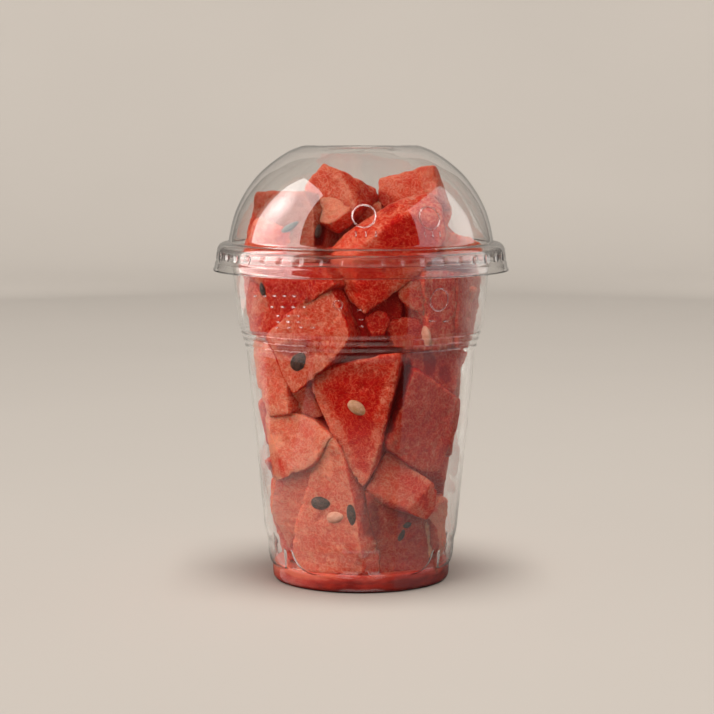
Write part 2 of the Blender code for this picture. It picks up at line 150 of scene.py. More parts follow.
# Name, azimuth, bottom, top, width, radiance, colour, fade and hot place (see in_reflections).
SOFT_BOXES = (
    ("left_box", -80, 0.02, 1.15, 0.62, 3.3, WARM, None, (0.32, 0.46, 0.28, 1.7)),
    ("right_box", 82, 0.02, 0.75, 0.76, 1.15, COOL, None, None),
    ("left_low", -90, -0.50, -0.14, 1.1, 0.9, WARM, (1.2, 0.1), None),
    ("left_far", -128, -0.10, 0.02, 0.34, 0.6, WARM, None, None),
    ("right_low", 85, -0.50, 0.02, 1.1, 0.24, COOL, (1.0, 0.4), None),
)
# Lamps: name, azimuth, elevation, distance, size, power and colour.
FLOOR_LAMP = ("floor_lamp", 0, 85, 2.9, 1.4, 116.0, ROOM_LIGHT)
WALL_LAMP = (31, 1.0, 0.6, 9.0, ROOM_LIGHT)    # from the elevation on
FOOT_GLOW = ("foot_glow", 0, -62, 0.25, 0.15, 0.09, WARM)
MARKS_LAMP = ("marks_lamp", -40, 62, 0.8, 1.0, 20.0, WARM)
FRUIT_LAMPS = (
    ("key_left", -70, 22, 0.7, 0.6, 3.1, WARM),
    ("fill_front", -5, 8, 0.9, 0.9, 2.2, WARM),
    ("key_top", -20, 48, 0.8, 0.6, 3.9, (1.0, 0.97, 0.94)),
    ("fill_right", 72, 15, 0.7, 0.6, 0.9, COOL),
    ("fill_back", 180, 30, 0.8, 0.6, 3.2, (1.0, 0.98, 0.96)),
    ("fill_right_back", 130, 18, 0.8, 0.6, 1.3, (1.0, 0.98, 0.96)),
)

# --- The fruit, laid out as in the solids, and peak_under, a small chunk more ---------------------
# A chunk's face by its corners (across, up), where the sight line through them crosses the upright
# plane through the cup's axis; folds are corners that lie further back by their third number. gap is
# how far the middle of the face lies behind the wall, turn how far it faces to the right and lean how
# far it faces up, both in degrees, and thick is how deep the chunk runs behind its face.
Chunk = namedtuple("Chunk", "name gap turn lean thick corners folds")
CHUNKS = (
    Chunk("peak_left", 16, -18, 14, 15, ((-12.3, 139.9), (-7.7, 137.6), (-5.3, 131.6), (-3.0, 127.0),
        (-1.0, 124.3), (-5.3, 123.0), (-10.3, 118.0), (-18.7, 119.7), (-19.3, 131.6), (-16.6, 135.6)),
        ((5.0, 131.3, 9), (5.7, 127.0, 9), (1.7, 124.3, 6), (0.3, 122.3, 10), (-9.7, 115.0, 9))),
    Chunk("peak_right", 19, -8, 14, 16, ((6.0, 134.6), (13.0, 136.6), (21.3, 138.9), (23.9, 138.3),
        (23.6, 133.3), (26.0, 128.3), (14.3, 122.3), (5.0, 125.3), (5.3, 129.6)), ((25.3, 138.3, 3),
        (28.3, 131.0, 9), (30.3, 123.7, 10))),
    Chunk("slab", 7, 10, -2, 18, ((-3.0, 110.3), (6.3, 116.3), (14.0, 122.3), (21.3, 123.3),
        (27.3, 121.7), (28.7, 114.3), (23.1, 105.6), (14.7, 98.9), (8.0, 92.9), (1.0, 87.9),
        (-1.3, 94.9)), ((-10.0, 110.7, 10), (-6.7, 114.3, 9), (-0.3, 119.3, 8), (8.0, 124.6, 8),
        (16.6, 128.3, 8), (23.0, 130.0, 8), (26.6, 126.6, 8), (-10.7, 107.0, 10), (-7.7, 100.3, 9),
        (-3.7, 92.2, 5))),
    Chunk("left_top", 13, -40, 0, 16, ((-34.6, 129.6), (-19.3, 130.0), (-15.7, 123.7), (-16.8, 117.7),
        (-15.4, 106.3), (-40.4, 106.3), (-37.7, 119.7)), ()),
    Chunk("peak_under", 14, -25, 32, 8, ((-15.0, 128.3), (-7.7, 128.3), (-3.0, 124.5), (-5.3, 121.8),
        (-10.3, 118.4), (-14.4, 119.7)), ()),
    Chunk("right_low", 6, 45, 18, 14, ((27.3, 117.0), (34.0, 116.0), (41.1, 112.7), (41.8, 106.3),
        (27.4, 106.3)), ()),
    Chunk("right_top", 22, 28, 0, 12, ((23.6, 133.6), (28.6, 130.0), (31.0, 123.7), (29.3, 117.3),
        (25.0, 113.7)), ()),
    Chunk("big_left", 2.5, -26, 2, 18, ((-31.9, 81.5), (-26.8, 87.9), (-20.4, 92.9), (-13.7, 96.9),
        (-10.0, 98.3), (-9.0, 95.3), (-6.7, 89.2), (-4.4, 85.5), (-3.4, 81.1), (-5.7, 76.8),
        (-11.8, 72.7), (-16.8, 65.6), (-23.2, 61.5), (-26.9, 66.6), (-26.2, 76.1), (-30.5, 76.8)),
        ((-7.0, 97.3, 5), (-3.7, 92.6, 9), (-1.3, 86.9, 10), (-2.7, 80.1, 7))),
    Chunk("upper_left", 7, -42, 0, 16, ((-40.4, 106.3), (-12.4, 106.3), (-8.7, 98.6), (-20.4, 90.9),
        (-32.5, 80.8), (-37.2, 82.8), (-38.2, 87.5), (-37.1, 96.9)), ()),
    Chunk("middle_dark", 13, 10, -5, 14, ((-7.0, 99.6), (14.4, 99.6), (13.8, 78.1), (-4.4, 78.1)), ()),
    Chunk("middle_small", 8, 12, 12, 10, ((1.0, 87.9), (6.0, 91.2), (10.1, 87.9), (8.1, 82.1),
        (4.0, 80.8)), ()),
    Chunk("upper_middle", 6.5, 4, -6, 12, ((12.7, 100.0), (22.1, 100.3), (23.4, 93.6), (21.4, 87.2),
        (18.1, 88.9), (15.4, 90.9), (12.0, 94.6)), ()),
    Chunk("lower_middle", 7, 10, 14, 13, ((8.0, 86.2), (11.7, 88.2), (17.4, 87.2), (23.8, 87.2),
        (24.5, 76.8), (14.4, 76.1), (10.1, 78.4)), ()),
    Chunk("upper_right", 4, 42, -3, 12, ((20.4, 103.6), (31.8, 103.6), (31.9, 77.4), (23.5, 76.1),
        (22.1, 87.5)), ()),
    Chunk("edge_right", 3, 60, 0, 10, ((32.1, 103.6), (40.8, 101.6), (40.2, 93.6), (36.5, 87.5),
        (38.2, 83.2), (35.9, 76.8), (32.2, 76.8)), ()),
    Chunk("over_heart", 14, 0, 22, 12, ((-12.4, 71.7), (-3.7, 78.1), (14.1, 78.1), (14.1, 74.7),
        (-5.4, 70.0)), ()),
    Chunk("heart", 2.5, -14, -2, 16, ((-16.8, 67.3), (-8.7, 70.3), (3.0, 74.4), (13.8, 76.4),
        (12.4, 69.7), (10.1, 58.8), (7.8, 50.3), (5.4, 42.1), (2.0, 31.2), (0.4, 29.5), (-1.3, 31.6),
        (-4.0, 38.1), (-9.1, 48.3), (-14.1, 56.4), (-16.5, 61.9)), ()),
    Chunk("left_middle", 1.5, -48, 0, 14, ((-36.6, 80.8), (-26.2, 76.1), (-27.6, 69.3), (-24.6, 60.5),
        (-24.2, 55.1), (-30.6, 53.7), (-32.6, 59.2), (-35.0, 65.9), (-35.6, 73.4)), ()),
    Chunk("left_shade", 8, -5, -16, 10, ((-24.9, 61.9), (-16.8, 64.9), (-12.8, 54.4), (-16.5, 53.0),
        (-24.2, 55.1)), ()),
    Chunk("left_pale", 1.5, -32, 8, 14, ((-32.3, 56.8), (-23.9, 55.8), (-16.5, 53.7), (-9.4, 47.6),
        (-14.5, 43.2), (-16.2, 37.4), (-24.0, 33.6), (-30.7, 31.9), (-32.0, 42.8)), ()),
    Chunk("left_under", 4.5, -18, -18, 12, ((-30.7, 32.6), (-24.0, 34.6), (-15.9, 38.4), (-15.9, 29.2),
        (-20.6, 20.9), (-23.0, 14.7), (-24.1, 7.9), (-26.1, 13.7), (-28.4, 23.0), (-31.1, 23.7)), ()),
    Chunk("low_left", 3.2, -28, -7, 15, ((-9.8, 47.6), (-7.7, 46.2), (-5.4, 39.4), (-4.0, 31.9),
        (-3.4, 24.7), (-1.3, 15.4), (0.4, 8.6), (0.4, -0.1), (-21.4, -0.1), (-23.4, 8.6), (-22.7, 16.1),
        (-20.3, 21.6), (-17.6, 27.8), (-17.6, 32.6), (-15.9, 39.4), (-13.8, 44.2)), ((-4.7, 41.8, 5),
        (-2.0, 35.3, 7), (1.7, 28.5, 9), (4.8, 18.9, 9), (6.5, 8.6, 9), (6.5, -0.1, 9))),
    Chunk("right_middle", 2, 32, -4, 14, ((17.8, 70.0), (21.5, 65.6), (26.6, 63.2), (31.6, 62.2),
        (35.0, 59.8), (34.4, 53.0), (32.4, 46.9), (28.7, 40.1), (26.4, 35.3), (22.6, 35.0),
        (17.2, 37.0), (7.8, 43.9), (12.1, 53.0), (14.8, 60.5)), ((14.1, 74.1, 13), (11.8, 61.5, 13),
        (8.1, 49.6, 13), (5.7, 43.9, 12))),
    Chunk("right_over", 6, 38, 5, 12, ((14.4, 76.8), (36.3, 76.8), (34.6, 71.3), (32.0, 62.5),
        (26.6, 63.2), (21.2, 65.6), (17.8, 70.0)), ()),
    Chunk("low_right", 2, 12, 18, 14, ((9.1, 43.5), (12.2, 41.1), (18.2, 36.0), (25.7, 31.2),
        (27.7, 28.1), (27.1, 23.0), (24.7, 18.5), (21.3, 19.6), (14.6, 27.1), (8.1, 28.8), (1.7, 29.8),
        (4.4, 34.0), (7.4, 40.1)), ()),
    Chunk("bottom_right", 4.5, 22, -10, 14, ((1.4, 28.8), (14.6, 26.4), (21.7, 19.2), (25.8, 17.5),
        (27.1, 10.3), (26.8, -0.1), (6.5, -1.1), (5.4, 12.0), (3.7, 21.6)), ()),
    Chunk("bottom_edge", 2, 50, 0, 10, ((27.1, 27.5), (29.8, 26.4), (29.1, 21.6), (27.8, 15.4),
        (27.8, 10.3), (28.9, 6.1), (23.4, 5.1), (21.7, 18.9)), ()),
)
# How deep the red is in the middle of a cut face, at its rim and on the other sides, and its brightness,
# which is painted light and shade: below 1 it paints shade on chunks that lie in shadow, above 1 light on
# lit ones. The plain row after the table holds for chunks that aren't named.
DEEP_AND_SHADING = {
    "heart": (0.76, 0.30, 0.7, 0.97), "slab": (0.52, 0.36, 0.50, 0.98),
    "middle_dark": (0.95, 0.85, 0.9, 0.80), "big_left": (0.34, 0.26, 0.8, 0.91),
    "upper_left": (0.66, 0.60, 0.6, 0.90), "left_top": (0.24, 0.20, 0.3, 0.52),
    "middle_small": (0.85, 0.7, 0.9, 0.75), "upper_middle": (0.45, 0.28, 0.7, 0.9),
    "lower_middle": (0.70, 0.55, 0.8, 0.7), "left_shade": (0.30, 0.26, 0.4, 1.0),
    "low_right": (0.42, 0.30, 0.5, 0.95), "peak_left": (0.34, 0.24, 0.42, 0.86),
    "peak_right": (0.34, 0.24, 0.42, 0.9), "low_left": (0.28, 0.2, 0.55, 1.0),
    "left_pale": (0.22, 0.16, 0.3, 0.98), "left_middle": (0.32, 0.25, 0.4, 1.06),
    "right_middle": (0.50, 0.46, 0.95, 0.86), "bottom_right": (0.55, 0.5, 0.6, 0.64),
    "right_over": (0.55, 0.5, 0.6, 0.9), "upper_right": (0.52, 0.45, 0.55, 1.0),
    "edge_right": (0.56, 0.52, 0.5, 0.80), "left_under": (0.24, 0.2, 0.4, 1.12),
    "peak_under": (0.08, 0.05, 0.5, 0.9), "over_heart": (1.0, 0.95, 1.0, 0.4),
}
PLAIN_DEEP_AND_SHADING = (0.25, 0.12, 0.25, 1.0)

# Where the red runs deep, or the fruit presses wet on the wall, and painted light and shade: where the fruit
# lies in shade it is painted deep and dim, and where it is lit or glistens it is painted brighter, a painted
# highlight: (across, up, half length, half height, tilt, how deep, share of the brightness).
STAINS_LIGHT_AND_SHADE = (
    (12.5, 116.5, 8.5, 5.0, 38, 0.86, 1.0), (20.0, 114.5, 6.0, 5.0, 20, 0.76, 1.0),
    (2.0, 102.0, 7.0, 6.0, 60, 0.60, 1.1), (3.5, 95.0, 6.5, 5.5, 70, 0.62, 1.05),
    (-27.0, 35.0, 1.6, 4.8, 8, 0.52, 1.05), (20.0, 28.5, 8.6, 3.0, -52, 0.58, 1.08),
    (28.0, 46.5, 1.6, 8.5, -18, 0.60, 1.10), (3.1, 19.5, 3.4, 8.0, 8, 0.62, 0.6),
    (23.0, 72.5, 2.3, 4.6, 10, 0.95, 0.7), (28.0, 68.5, 2.4, 3.6, 10, 0.9, 0.75),
    (-33.5, 84.5, 5.0, 1.6, 12, 0.55, 1.05), (-14.0, 80.0, 1.5, 1.5, 0, 0.6, 0.9),
    (-24.4, 95.0, 8.0, 6.5, 10, 0.72, 0.85), (-24.5, 120.0, 9.0, 8.5, 20, 0.2, 0.9),
    (-38.0, 117.0, 3.2, 9.0, 0, 0.40, 1.5), (-33.5, 92.5, 3.0, 5.0, 0, 0.24, 1.0),
    (-20.5, 77.0, 8.5, 3.2, 0, 0.5, 0.62), (2.5, 71.5, 9.0, 2.6, 12, 0.5, 0.8),
    (-13.6, 115.0, 2.0, 4.4, -12, 1.0, 0.3), (-29.5, 45.5, 4.2, 3.4, 20, -0.1, 1.2),
    (-12.1, 38.0, 3.0, 6.0, 12, 0.16, 1.2), (7.5, 126.5, 5.0, 3.5, -30, 0.55, 0.75),
    (1.5, 128.0, 3.2, 6.0, 12, 0.5, 0.75), (4.7, 68.8, 5.5, 2.4, 8, 0.58, 0.84),
    (-3.5, 5.5, 4.0, 6.0, 0, 0.34, 0.88), (-20.5, 78.4, 5.0, 3.0, 30, 0.52, 0.88),
    (13.1, 78.4, 5.0, 2.6, 0, 0.42, 0.86), (8.0, 59.0, 2.4, 12.0, -16, 0.40, 1.0),
    (12.5, 60.0, 1.9, 15.5, -16, 1.0, 0.3),
)

# Seeds as the camera sees them: (across, up, tilt, length, width, how far sunk, kind).
SEEDS = (
    (-32.6, 97.1, 117, 4.9, 2.1, 0.5, "dark"), (-20.7, 72.7, 52, 6.6, 5.4, 0.6, "dark"),
    (-13.5, 24.7, 9, 7.0, 4.6, 0.5, "dark"), (-3.2, 20.6, -84, 7.2, 2.9, 0.5, "dark"),
    (13.6, 13.4, 65, 4.8, 2.6, 0.8, "dark"), (15.6, 17.2, 15, 3.6, 2.6, 0.8, "dark"),
    (-14.4, 116.6, 62, 4.6, 2.8, 0.4, "dark"), (-23.7, 117.7, 20, 8.6, 2.0, 0.35, "grey"),
    (-1.2, 57.1, -34, 6.9, 4.2, 0.5, "tan"), (-8.6, 19.9, 13, 6.0, 3.9, 0.5, "pink"),
    (22.1, 81.5, 82, 7.2, 4.2, 0.3, "pink"),
)
SEED_THICKNESS = 2.2

# Moulded marks: rows of bars (left, right, up, how many, width, height) and rings (across, up, radius).
CUP_BARS = (
    (-35.5, -22.4, 94.9, 5, 1.8, 0.0), (-29.8, -19.1, 91.2, 4, 1.6, 0.0), (-27.8, -21.1, 88.2, 3, 1.6, 0.0),
    (-27.8, -21.1, 86.2, 3, 1.6, 0.0), (-28.2, -16.1, 84.3, 4, 1.6, 0.0), (-0.3, -0.3, 90.2, 1, 1.6, 0.0),
    (0.0, 0.0, 86.9, 1, 1.6, 0.0), (0.3, 0.3, 84.6, 1, 1.6, 0.0), (24.0, 28.5, 86.4, 2, 2.6, 0.0),
)
CUP_RINGS = ((26.4, 93.6, 3.6), (-7.7, 91.9, 1.4))
LID_BARS = ((-1.7, 5.0, 115.6, 3, 0.0, 2.0), (21.4, 26.4, 115.6, 3, 0.0, 2.0))
LID_RINGS = ((1.0, 121.7, 3.7), (23.0, 121.0, 3.7))
MARK_HALF_WIDTH = 0.26     # of a bar's or ring's ridge
MARK_RISE = 0.28
MARK_SIDES = 8
BAR_POINTS = (-1 / 2, -1 / 4, 1 / 4, 1 / 2)
RING_STEPS = 40

# Chunks round the back stay within (height, left, right), where those in front hide them, and
# under the skyline of (across, height).
REACH = (
    (0, 22, 27), (10, 24, 29), (24, 30, 29), (36, 33, 28), (54, 35, 33), (62, 35, 34), (68, 36, 31),
    (78, 36, 35), (84, 38, 36), (90, 38, 40), (106, 40, 41), (113, 40, 41), (121, 38, 31), (130, 35, 28),
    (140, 14, 25),
)
SKYLINE = ((-38, 118), (-30, 126), (-14, 127), (0, 126), (10, 127), (24, 126), (31, 116), (38, 108))
SKYLINE_SLOPE = 0.02
FILL_HEIGHTS = (16, 34, 53, 72, 91, 110)      # middle heights of the rings of chunks round the back
FILL_STEP = 36             # degrees between two of them in a ring
FILL_FIRST = 84            # azimuth of the first, past the ones that show
WALL_CHUNK_REACH = (13, 18)                   # from the middle of such a chunk to its corners
WALL_CHUNK_SPREAD = (0.86, 1.12)
WALL_CHUNK_THICK = (13, 19)
WALL_CHUNK_GAP = (2, 6)    # from the wall to the middle of its face
WALL_CHUNK_TURN = (-14, 14)
TOP_SIZE = (24, 32)        # side of a block on top
TOP_LEAN = (-35, 35)
TOP_SLANT = (0.72, 1.0)
# Middles of the blocks in the top of the heap.
TOP_FILL = ((-22, 10, 114), (-4, 20, 114), (14, 12, 116), (24, -2, 110), (-2, -2, 117), (-26, -8, 110))
BACK_DEEP = (0.15, 0.6)    # how deep the red is in the chunks round the back, and their tone
BACK_TONE = (0.95, 1.05)

# The surface of a chunk: size and height of its lumps, dents, fibres, grain, pits and chipped edges.
LUMPS = (10.0, 0.32)
DENTS = (3.4, 0.14)
FIBRES = (1.2, 0.12)
GRAIN = (1.3, 0.11)
PITS = (1.9, 0.35)
CHIPS = (2.4, 1.0)
FIBRE_PULL = 0.75          # how far the noise of the fibres is drawn out
FLAT_TURN = 0.985          # faces that turn by less count as one plane, a cosine
# A piece holds the chunks whose middle lies above its height.
GROUPS = (("melon_upper", 100), ("melon_middle", 55), ("melon_lower", 0))
FACE_RIM = (0.8, 4.2)      # from here to there inside its outline, a face turns deep
FRONT_TONE = (0.98, 1.02)
# Chunk edges are painted paler and brighter: a painted highlight along the ridges.
EDGE_PALER = 0.20
EDGE_BRIGHTER = 0.06
STAINS_LIGHT_AND_SHADE_AHEAD = 4.0        # stains, painted light and painted shade lie on the fruit in front of this plane


# --- Small helpers ------------------------------------------------------------------------------
def blend(rows, at, column=1):
    """The value in a column of rows at a place in their first column, by straight lines."""
    if at <= rows[0][0]:
        return rows[0][column]
    for low, high in zip(rows, rows[1:]):
        if at <= high[0]:
            share = (at - low[0]) / (high[0] - low[0])
            return low[column] + share * (high[column] - low[column])
    return rows[-1][column]


def smoothstep(low, high, value):
    share = np.clip((value - low) / (high - low), 0.0, 1.0)
    return share * share * (3 - 2 * share)


def new_object(name, data):
    obj = bpy.data.objects.new(name, data)
    bpy.context.scene.collection.objects.link(obj)
    return obj


def collect(name, pieces):
    """A collection of pieces, for lights that shine on them alone."""
    group = bpy.data.collections.new(name)
    for piece in pieces:
        group.objects.link(piece)
    return group


def new_mesh(name, points, faces, material):
    """A piece from points in millimetres, smooth shaded."""
    mesh = bpy.data.meshes.new(name)
    mesh.from_pydata([tuple(p) for p in np.asarray(points) * MM], [], faces)
    mesh.validate()
    mesh.materials.append(material)
    mesh.shade_smooth()
    return new_object(name, mesh)


def outward(obj, merge=0.0):
    """Turns an object's faces outwards, and first joins points that lie within merge metres."""
    shape = bmesh.new()
    shape.from_mesh(obj.data)
    if merge:
        bmesh.ops.remove_doubles(shape, verts=shape.verts, dist=merge)
    bmesh.ops.recalc_face_normals(shape, faces=shape.faces)
    shape.to_mesh(obj.data)
    shape.free()


def joined(parts):
    """Many (points, faces) parts as one."""
    faces, start = [], 0
    for points, part_faces in parts:
        faces += [tuple(v + start for v in face) for face in part_faces]
        start += len(points)
    return np.concatenate([points for points, _ in parts]), faces


def tube(rings, count):
    """Faces between rings of points that follow each other, with count points in each."""
    return [(a + j, a + count + j, a + count + (j + 1) % count, a + (j + 1) % count)
            for a in range(0, (rings - 1) * count, count) for j in range(count)]


def lathe(profile, count):
    """Rings of points where a profile of (radius, height) is turned round Z, and their faces."""
    angles = np.linspace(0, 2 * math.pi, count, endpoint=False)
    rings = [np.stack([r * np.cos(angles), r * np.sin(angles), np.full(count, z)], axis=1)
             for r, z in profile]
    return rings, tube(len(rings), count)


def direction(azimuth, elevation=0.0):
    """The way that an azimuth and an elevation in degrees point."""
    turn, rise = math.radians(azimuth), math.radians(elevation)
    return Vector((math.sin(turn) * math.cos(rise), -math.cos(turn) * math.cos(rise), math.sin(rise)))


def beside(normal):
    """The directions across and up in the plane that a normal stands on."""
    side = normal.cross(Vector((0, 0, 1))).normalized()
    return side, side.cross(normal)


def eye():
    """The camera's place."""
    return Vector((VIEW_OFFSET, -VIEW_DISTANCE, VIEW_HEIGHT))


def sight(across, up):
    """From the camera to a point of the upright plane through the cup's axis."""
    return (Vector((across, 0.0, up)) - eye()).normalized()


# --- Profiles -----------------------------------------------------------------------------------
DOME_ROWS = ((DOME_BASE, 44.1), (116.7, 43.5), (120, 42.7), (123.4, 41.6), (126.7, 40.1), (130, 38.2),
             (133.4, 35.8), (136.7, 32.8), (140.3, 28.4), (142.3, 25.4), (143.6, 23.0), (HEIGHT, 19.3))


def dome_radius(height):
    return blend(DOME_ROWS, height)


def side_rows():
    """The cup's outside over its lobes: (height, radius) from the step line up."""
    shoulder = SHOULDER_TOP - BODY_TOP
    step = SHOULDER_RADIUS - BODY_RADIUS
    return (
        (LOBE_TOP - 0.6, WAIST_RADIUS - 0.95), (LOBE_TOP + 0.6, WAIST_RADIUS - 0.5),
        (WAIST_HEIGHT, WAIST_RADIUS), (BODY_TOP, BODY_RADIUS),
        (SHOULDER_TOP - 0.75 * shoulder, BODY_RADIUS + 0.2 * step),
        (SHOULDER_TOP - 0.35 * shoulder, SHOULDER_RADIUS - 0.4 * step),
        (SHOULDER_TOP, SHOULDER_RADIUS), (NECK_TOP, NECK_RADIUS),
    )


def wall_radius(height):
    """Inside radius of the cup, and over its rim of the lid."""
    if height > NECK_TOP:
        return min(dome_radius(max(height, DOME_BASE)) - LID_WALL, NECK_RADIUS - CUP_WALL)
    grooves = ((FOOT_TOP, FOOT_RADIUS), (9.5, FOOT_RADIUS), (LOBE_TOP, WAIST_RADIUS - 1.4))
    if height <= LOBE_TOP:
        return blend(grooves, height) - CUP_WALL
    return blend(side_rows(), height) - CUP_WALL


def resample(points, pitch):
    """A polyline of (r, z) with a point every pitch at most, its corners kept."""
    dense = [points[0]]
    for a, b in zip(points, points[1:]):
        steps = max(1, math.ceil(math.dist(a, b) / pitch))
        dense += [(a[0] + (b[0] - a[0]) * i / steps, a[1] + (b[1] - a[1]) * i / steps)
                  for i in range(1, steps + 1)]
    return dense


def soften(points, rounds):
    """Rounds a polyline's corners by averaging neighbours, its ends kept."""
    line = np.array(points, dtype=float)
    for _ in range(rounds):
        line[1:-1] = (line[:-2] + 2 * line[1:-1] + line[2:]) / 4
    return line


def curve_through(points, steps):
    """A smooth curve through the points, with steps pieces for each span."""
    line = np.array(points, dtype=float)
    line = np.vstack([2 * line[0] - line[1], line, 2 * line[-1] - line[-2]])
    out = []
    for a, b, c, d in zip(line, line[1:], line[2:], line[3:]):
        for i in range(steps):
            t = i / steps
            out.append(0.5 * (2 * b + (c - a) * t + (2 * a - 5 * b + 4 * c - d) * t * t
                              + (3 * b - a - 3 * c + d) * t ** 3))
    out.append(line[-2])
    return [tuple(p) for p in out]


def revolve(name, profile, wall, angles, material, shape):
    """A closed shell: a profile turned round Z and thickened inwards.

    The profile runs down the outer side. shape(radii, heights, angles) says how far its surface moves out.
    """
    line = np.array(profile, dtype=float)
    run = np.gradient(line, axis=0)
    run /= np.linalg.norm(run, axis=1, keepdims=True)
    inward = np.stack([run[:, 1], -run[:, 0]], axis=1)
    on_axis = line[:, 0] < 1e-6
    inward[on_axis] = np.where(inward[on_axis, 1:] > 0, (0.0, 1.0), (0.0, -1.0))
    grids = []
    for side in (0.0, wall):
        rings = line + inward * side
        r = rings[:, :1] + shape(line[:, :1], line[:, 1:], angles[None, :])
        r[on_axis] = 0.0
        z = np.repeat(rings[:, 1:], len(angles), axis=1)
        grids.append(np.stack([r * np.cos(angles), r * np.sin(angles), z], axis=-1))
    points, index = [], []
    for grid in grids:
        rows = []
        for i, ring in enumerate(grid):
            start = len(points)
            if on_axis[i]:
                points.append(ring[0])
                rows.append([start] * len(angles))
            else:
                points.extend(ring)
                rows.append(list(range(start, start + len(angles))))
        index.append(rows)
    faces = []

    def strip(upper, lower):
        for j in range(len(angles)):
            k = (j + 1) % len(angles)
            quad = [upper[j], upper[k], lower[k], lower[j]]
            quad = [v for n, v in enumerate(quad) if v != quad[n - 1]]
            if len(quad) > 2:
                faces.append(quad)

    outer, inner = index
    for a, b in zip(outer, outer[1:]):
        strip(a, b)
    for a, b in zip(inner, inner[1:]):
        strip(b, a)
    for end in (0, -1):
        if not on_axis[end]:
            strip(*((inner[0], outer[0]) if end == 0 else (outer[-1], inner[-1])))
    obj = new_mesh(name, points, faces, material)
    outward(obj)
    return obj


# --- Materials ----------------------------------------------------------------------------------
class Nodes:
    """A tree that is filled node by node. Each call returns an output for the next one to use."""

    def __init__(self, tree):
        self.tree = tree

    def add(self, kind, inputs=None, output=0, **settings):
        node = self.tree.nodes.new("ShaderNode" + kind)
        for key, value in settings.items():
            setattr(node, key, value)
        for key, value in (inputs or {}).items():
            if isinstance(value, bpy.types.NodeSocket):
                self.tree.links.new(value, node.inputs[key])
            else:
                node.inputs[key].default_value = value
        return node.outputs[output]

    def math(self, operation, *values):
        """The operation on two values, then on its result and the next value, and so on."""
        result = values[0]
        for value in values[1:]:
            result = self.add("Math", {0: result, 1: value}, operation=operation)
        return result

    def spread(self, source, low, high, least, most):
        """A value that runs from least to most while the source runs from low to high."""
        return self.add("MapRange", {"Value": source, "From Min": low, "From Max": high,
                                     "To Min": least, "To Max": most})


class Material(Nodes):
    """A new material's nodes, with the place on the object at hand."""

    def __init__(self, name):
        self.material = bpy.data.materials.new(name)
        self.material.use_nodes = True
        super().__init__(self.material.node_tree)
        self.tree.nodes.clear()
        self.place = self.add("TexCoord", output="Object")

    def along(self, axis):
        return self.add("SeparateXYZ", {0: self.place}, axis)

    def noise(self, scale, detail=2.0, place=None, output=0, **inputs):
        inputs.update({"Vector": place or self.place, "Scale": scale, "Detail": detail})
        return self.add("TexNoise", inputs, output)

    def borders(self, place, scale):
        """How far a point lies from the nearest border between cells."""
        return self.add("TexVoronoi", {"Vector": place, "Scale": scale}, feature="DISTANCE_TO_EDGE")

    def ramp(self, source, *stops):
        """A colour ramp with (place, colour) stops."""
        colour = self.add("ValToRGB", {0: source}, "Color")
        elements = colour.node.color_ramp.elements
        while len(elements) < len(stops):
            elements.new(0.5)
        for element, (place, shade) in zip(elements, stops):
            element.position = place
            element.color = (*shade, 1.0)
        return colour

    def bump(self, heights, strength, distance):
        return self.add("Bump", {"Height": heights, "Strength": strength, "Distance": distance})

    def finish(self, shader):
        out = self.tree.nodes.new("ShaderNodeOutputMaterial")
        self.tree.links.new(shader, out.inputs["Surface"])
        return self.material


def plastic_material(name):
    """Clear plastic with slightly wavy surfaces. Lamps and soft light pass straight through."""
    n = Material(name)
    height = n.along("Z")
    rough = PLASTIC_ROUGHNESS
    for bottom, top, extra in MILKY_BANDS:
        up = n.spread(height, bottom * MM, (bottom + BAND_FADE) * MM, 0.0, extra)
        down = n.spread(height, (top - BAND_FADE) * MM, top * MM, 1.0, 0.0)
        rough = n.math("ADD", rough, n.math("MULTIPLY", up, down))
    shine = n.add("BsdfPrincipled", {
        "Base Color": PLASTIC_TINT, "Roughness": rough, "IOR": 1.57, "Transmission Weight": 1.0,
        "Normal": n.bump(n.noise(45.0), 0.25, 0.0001),
    })
    passing = n.add("BsdfTransparent", {"Color": PLASTIC_TINT})
    through = n.math("MAXIMUM", n.add("LightPath", output="Is Shadow Ray"),
                     n.add("LightPath", output="Is Diffuse Ray"))
    return n.finish(n.add("MixShader", {0: through, 1: shine, 2: passing}))


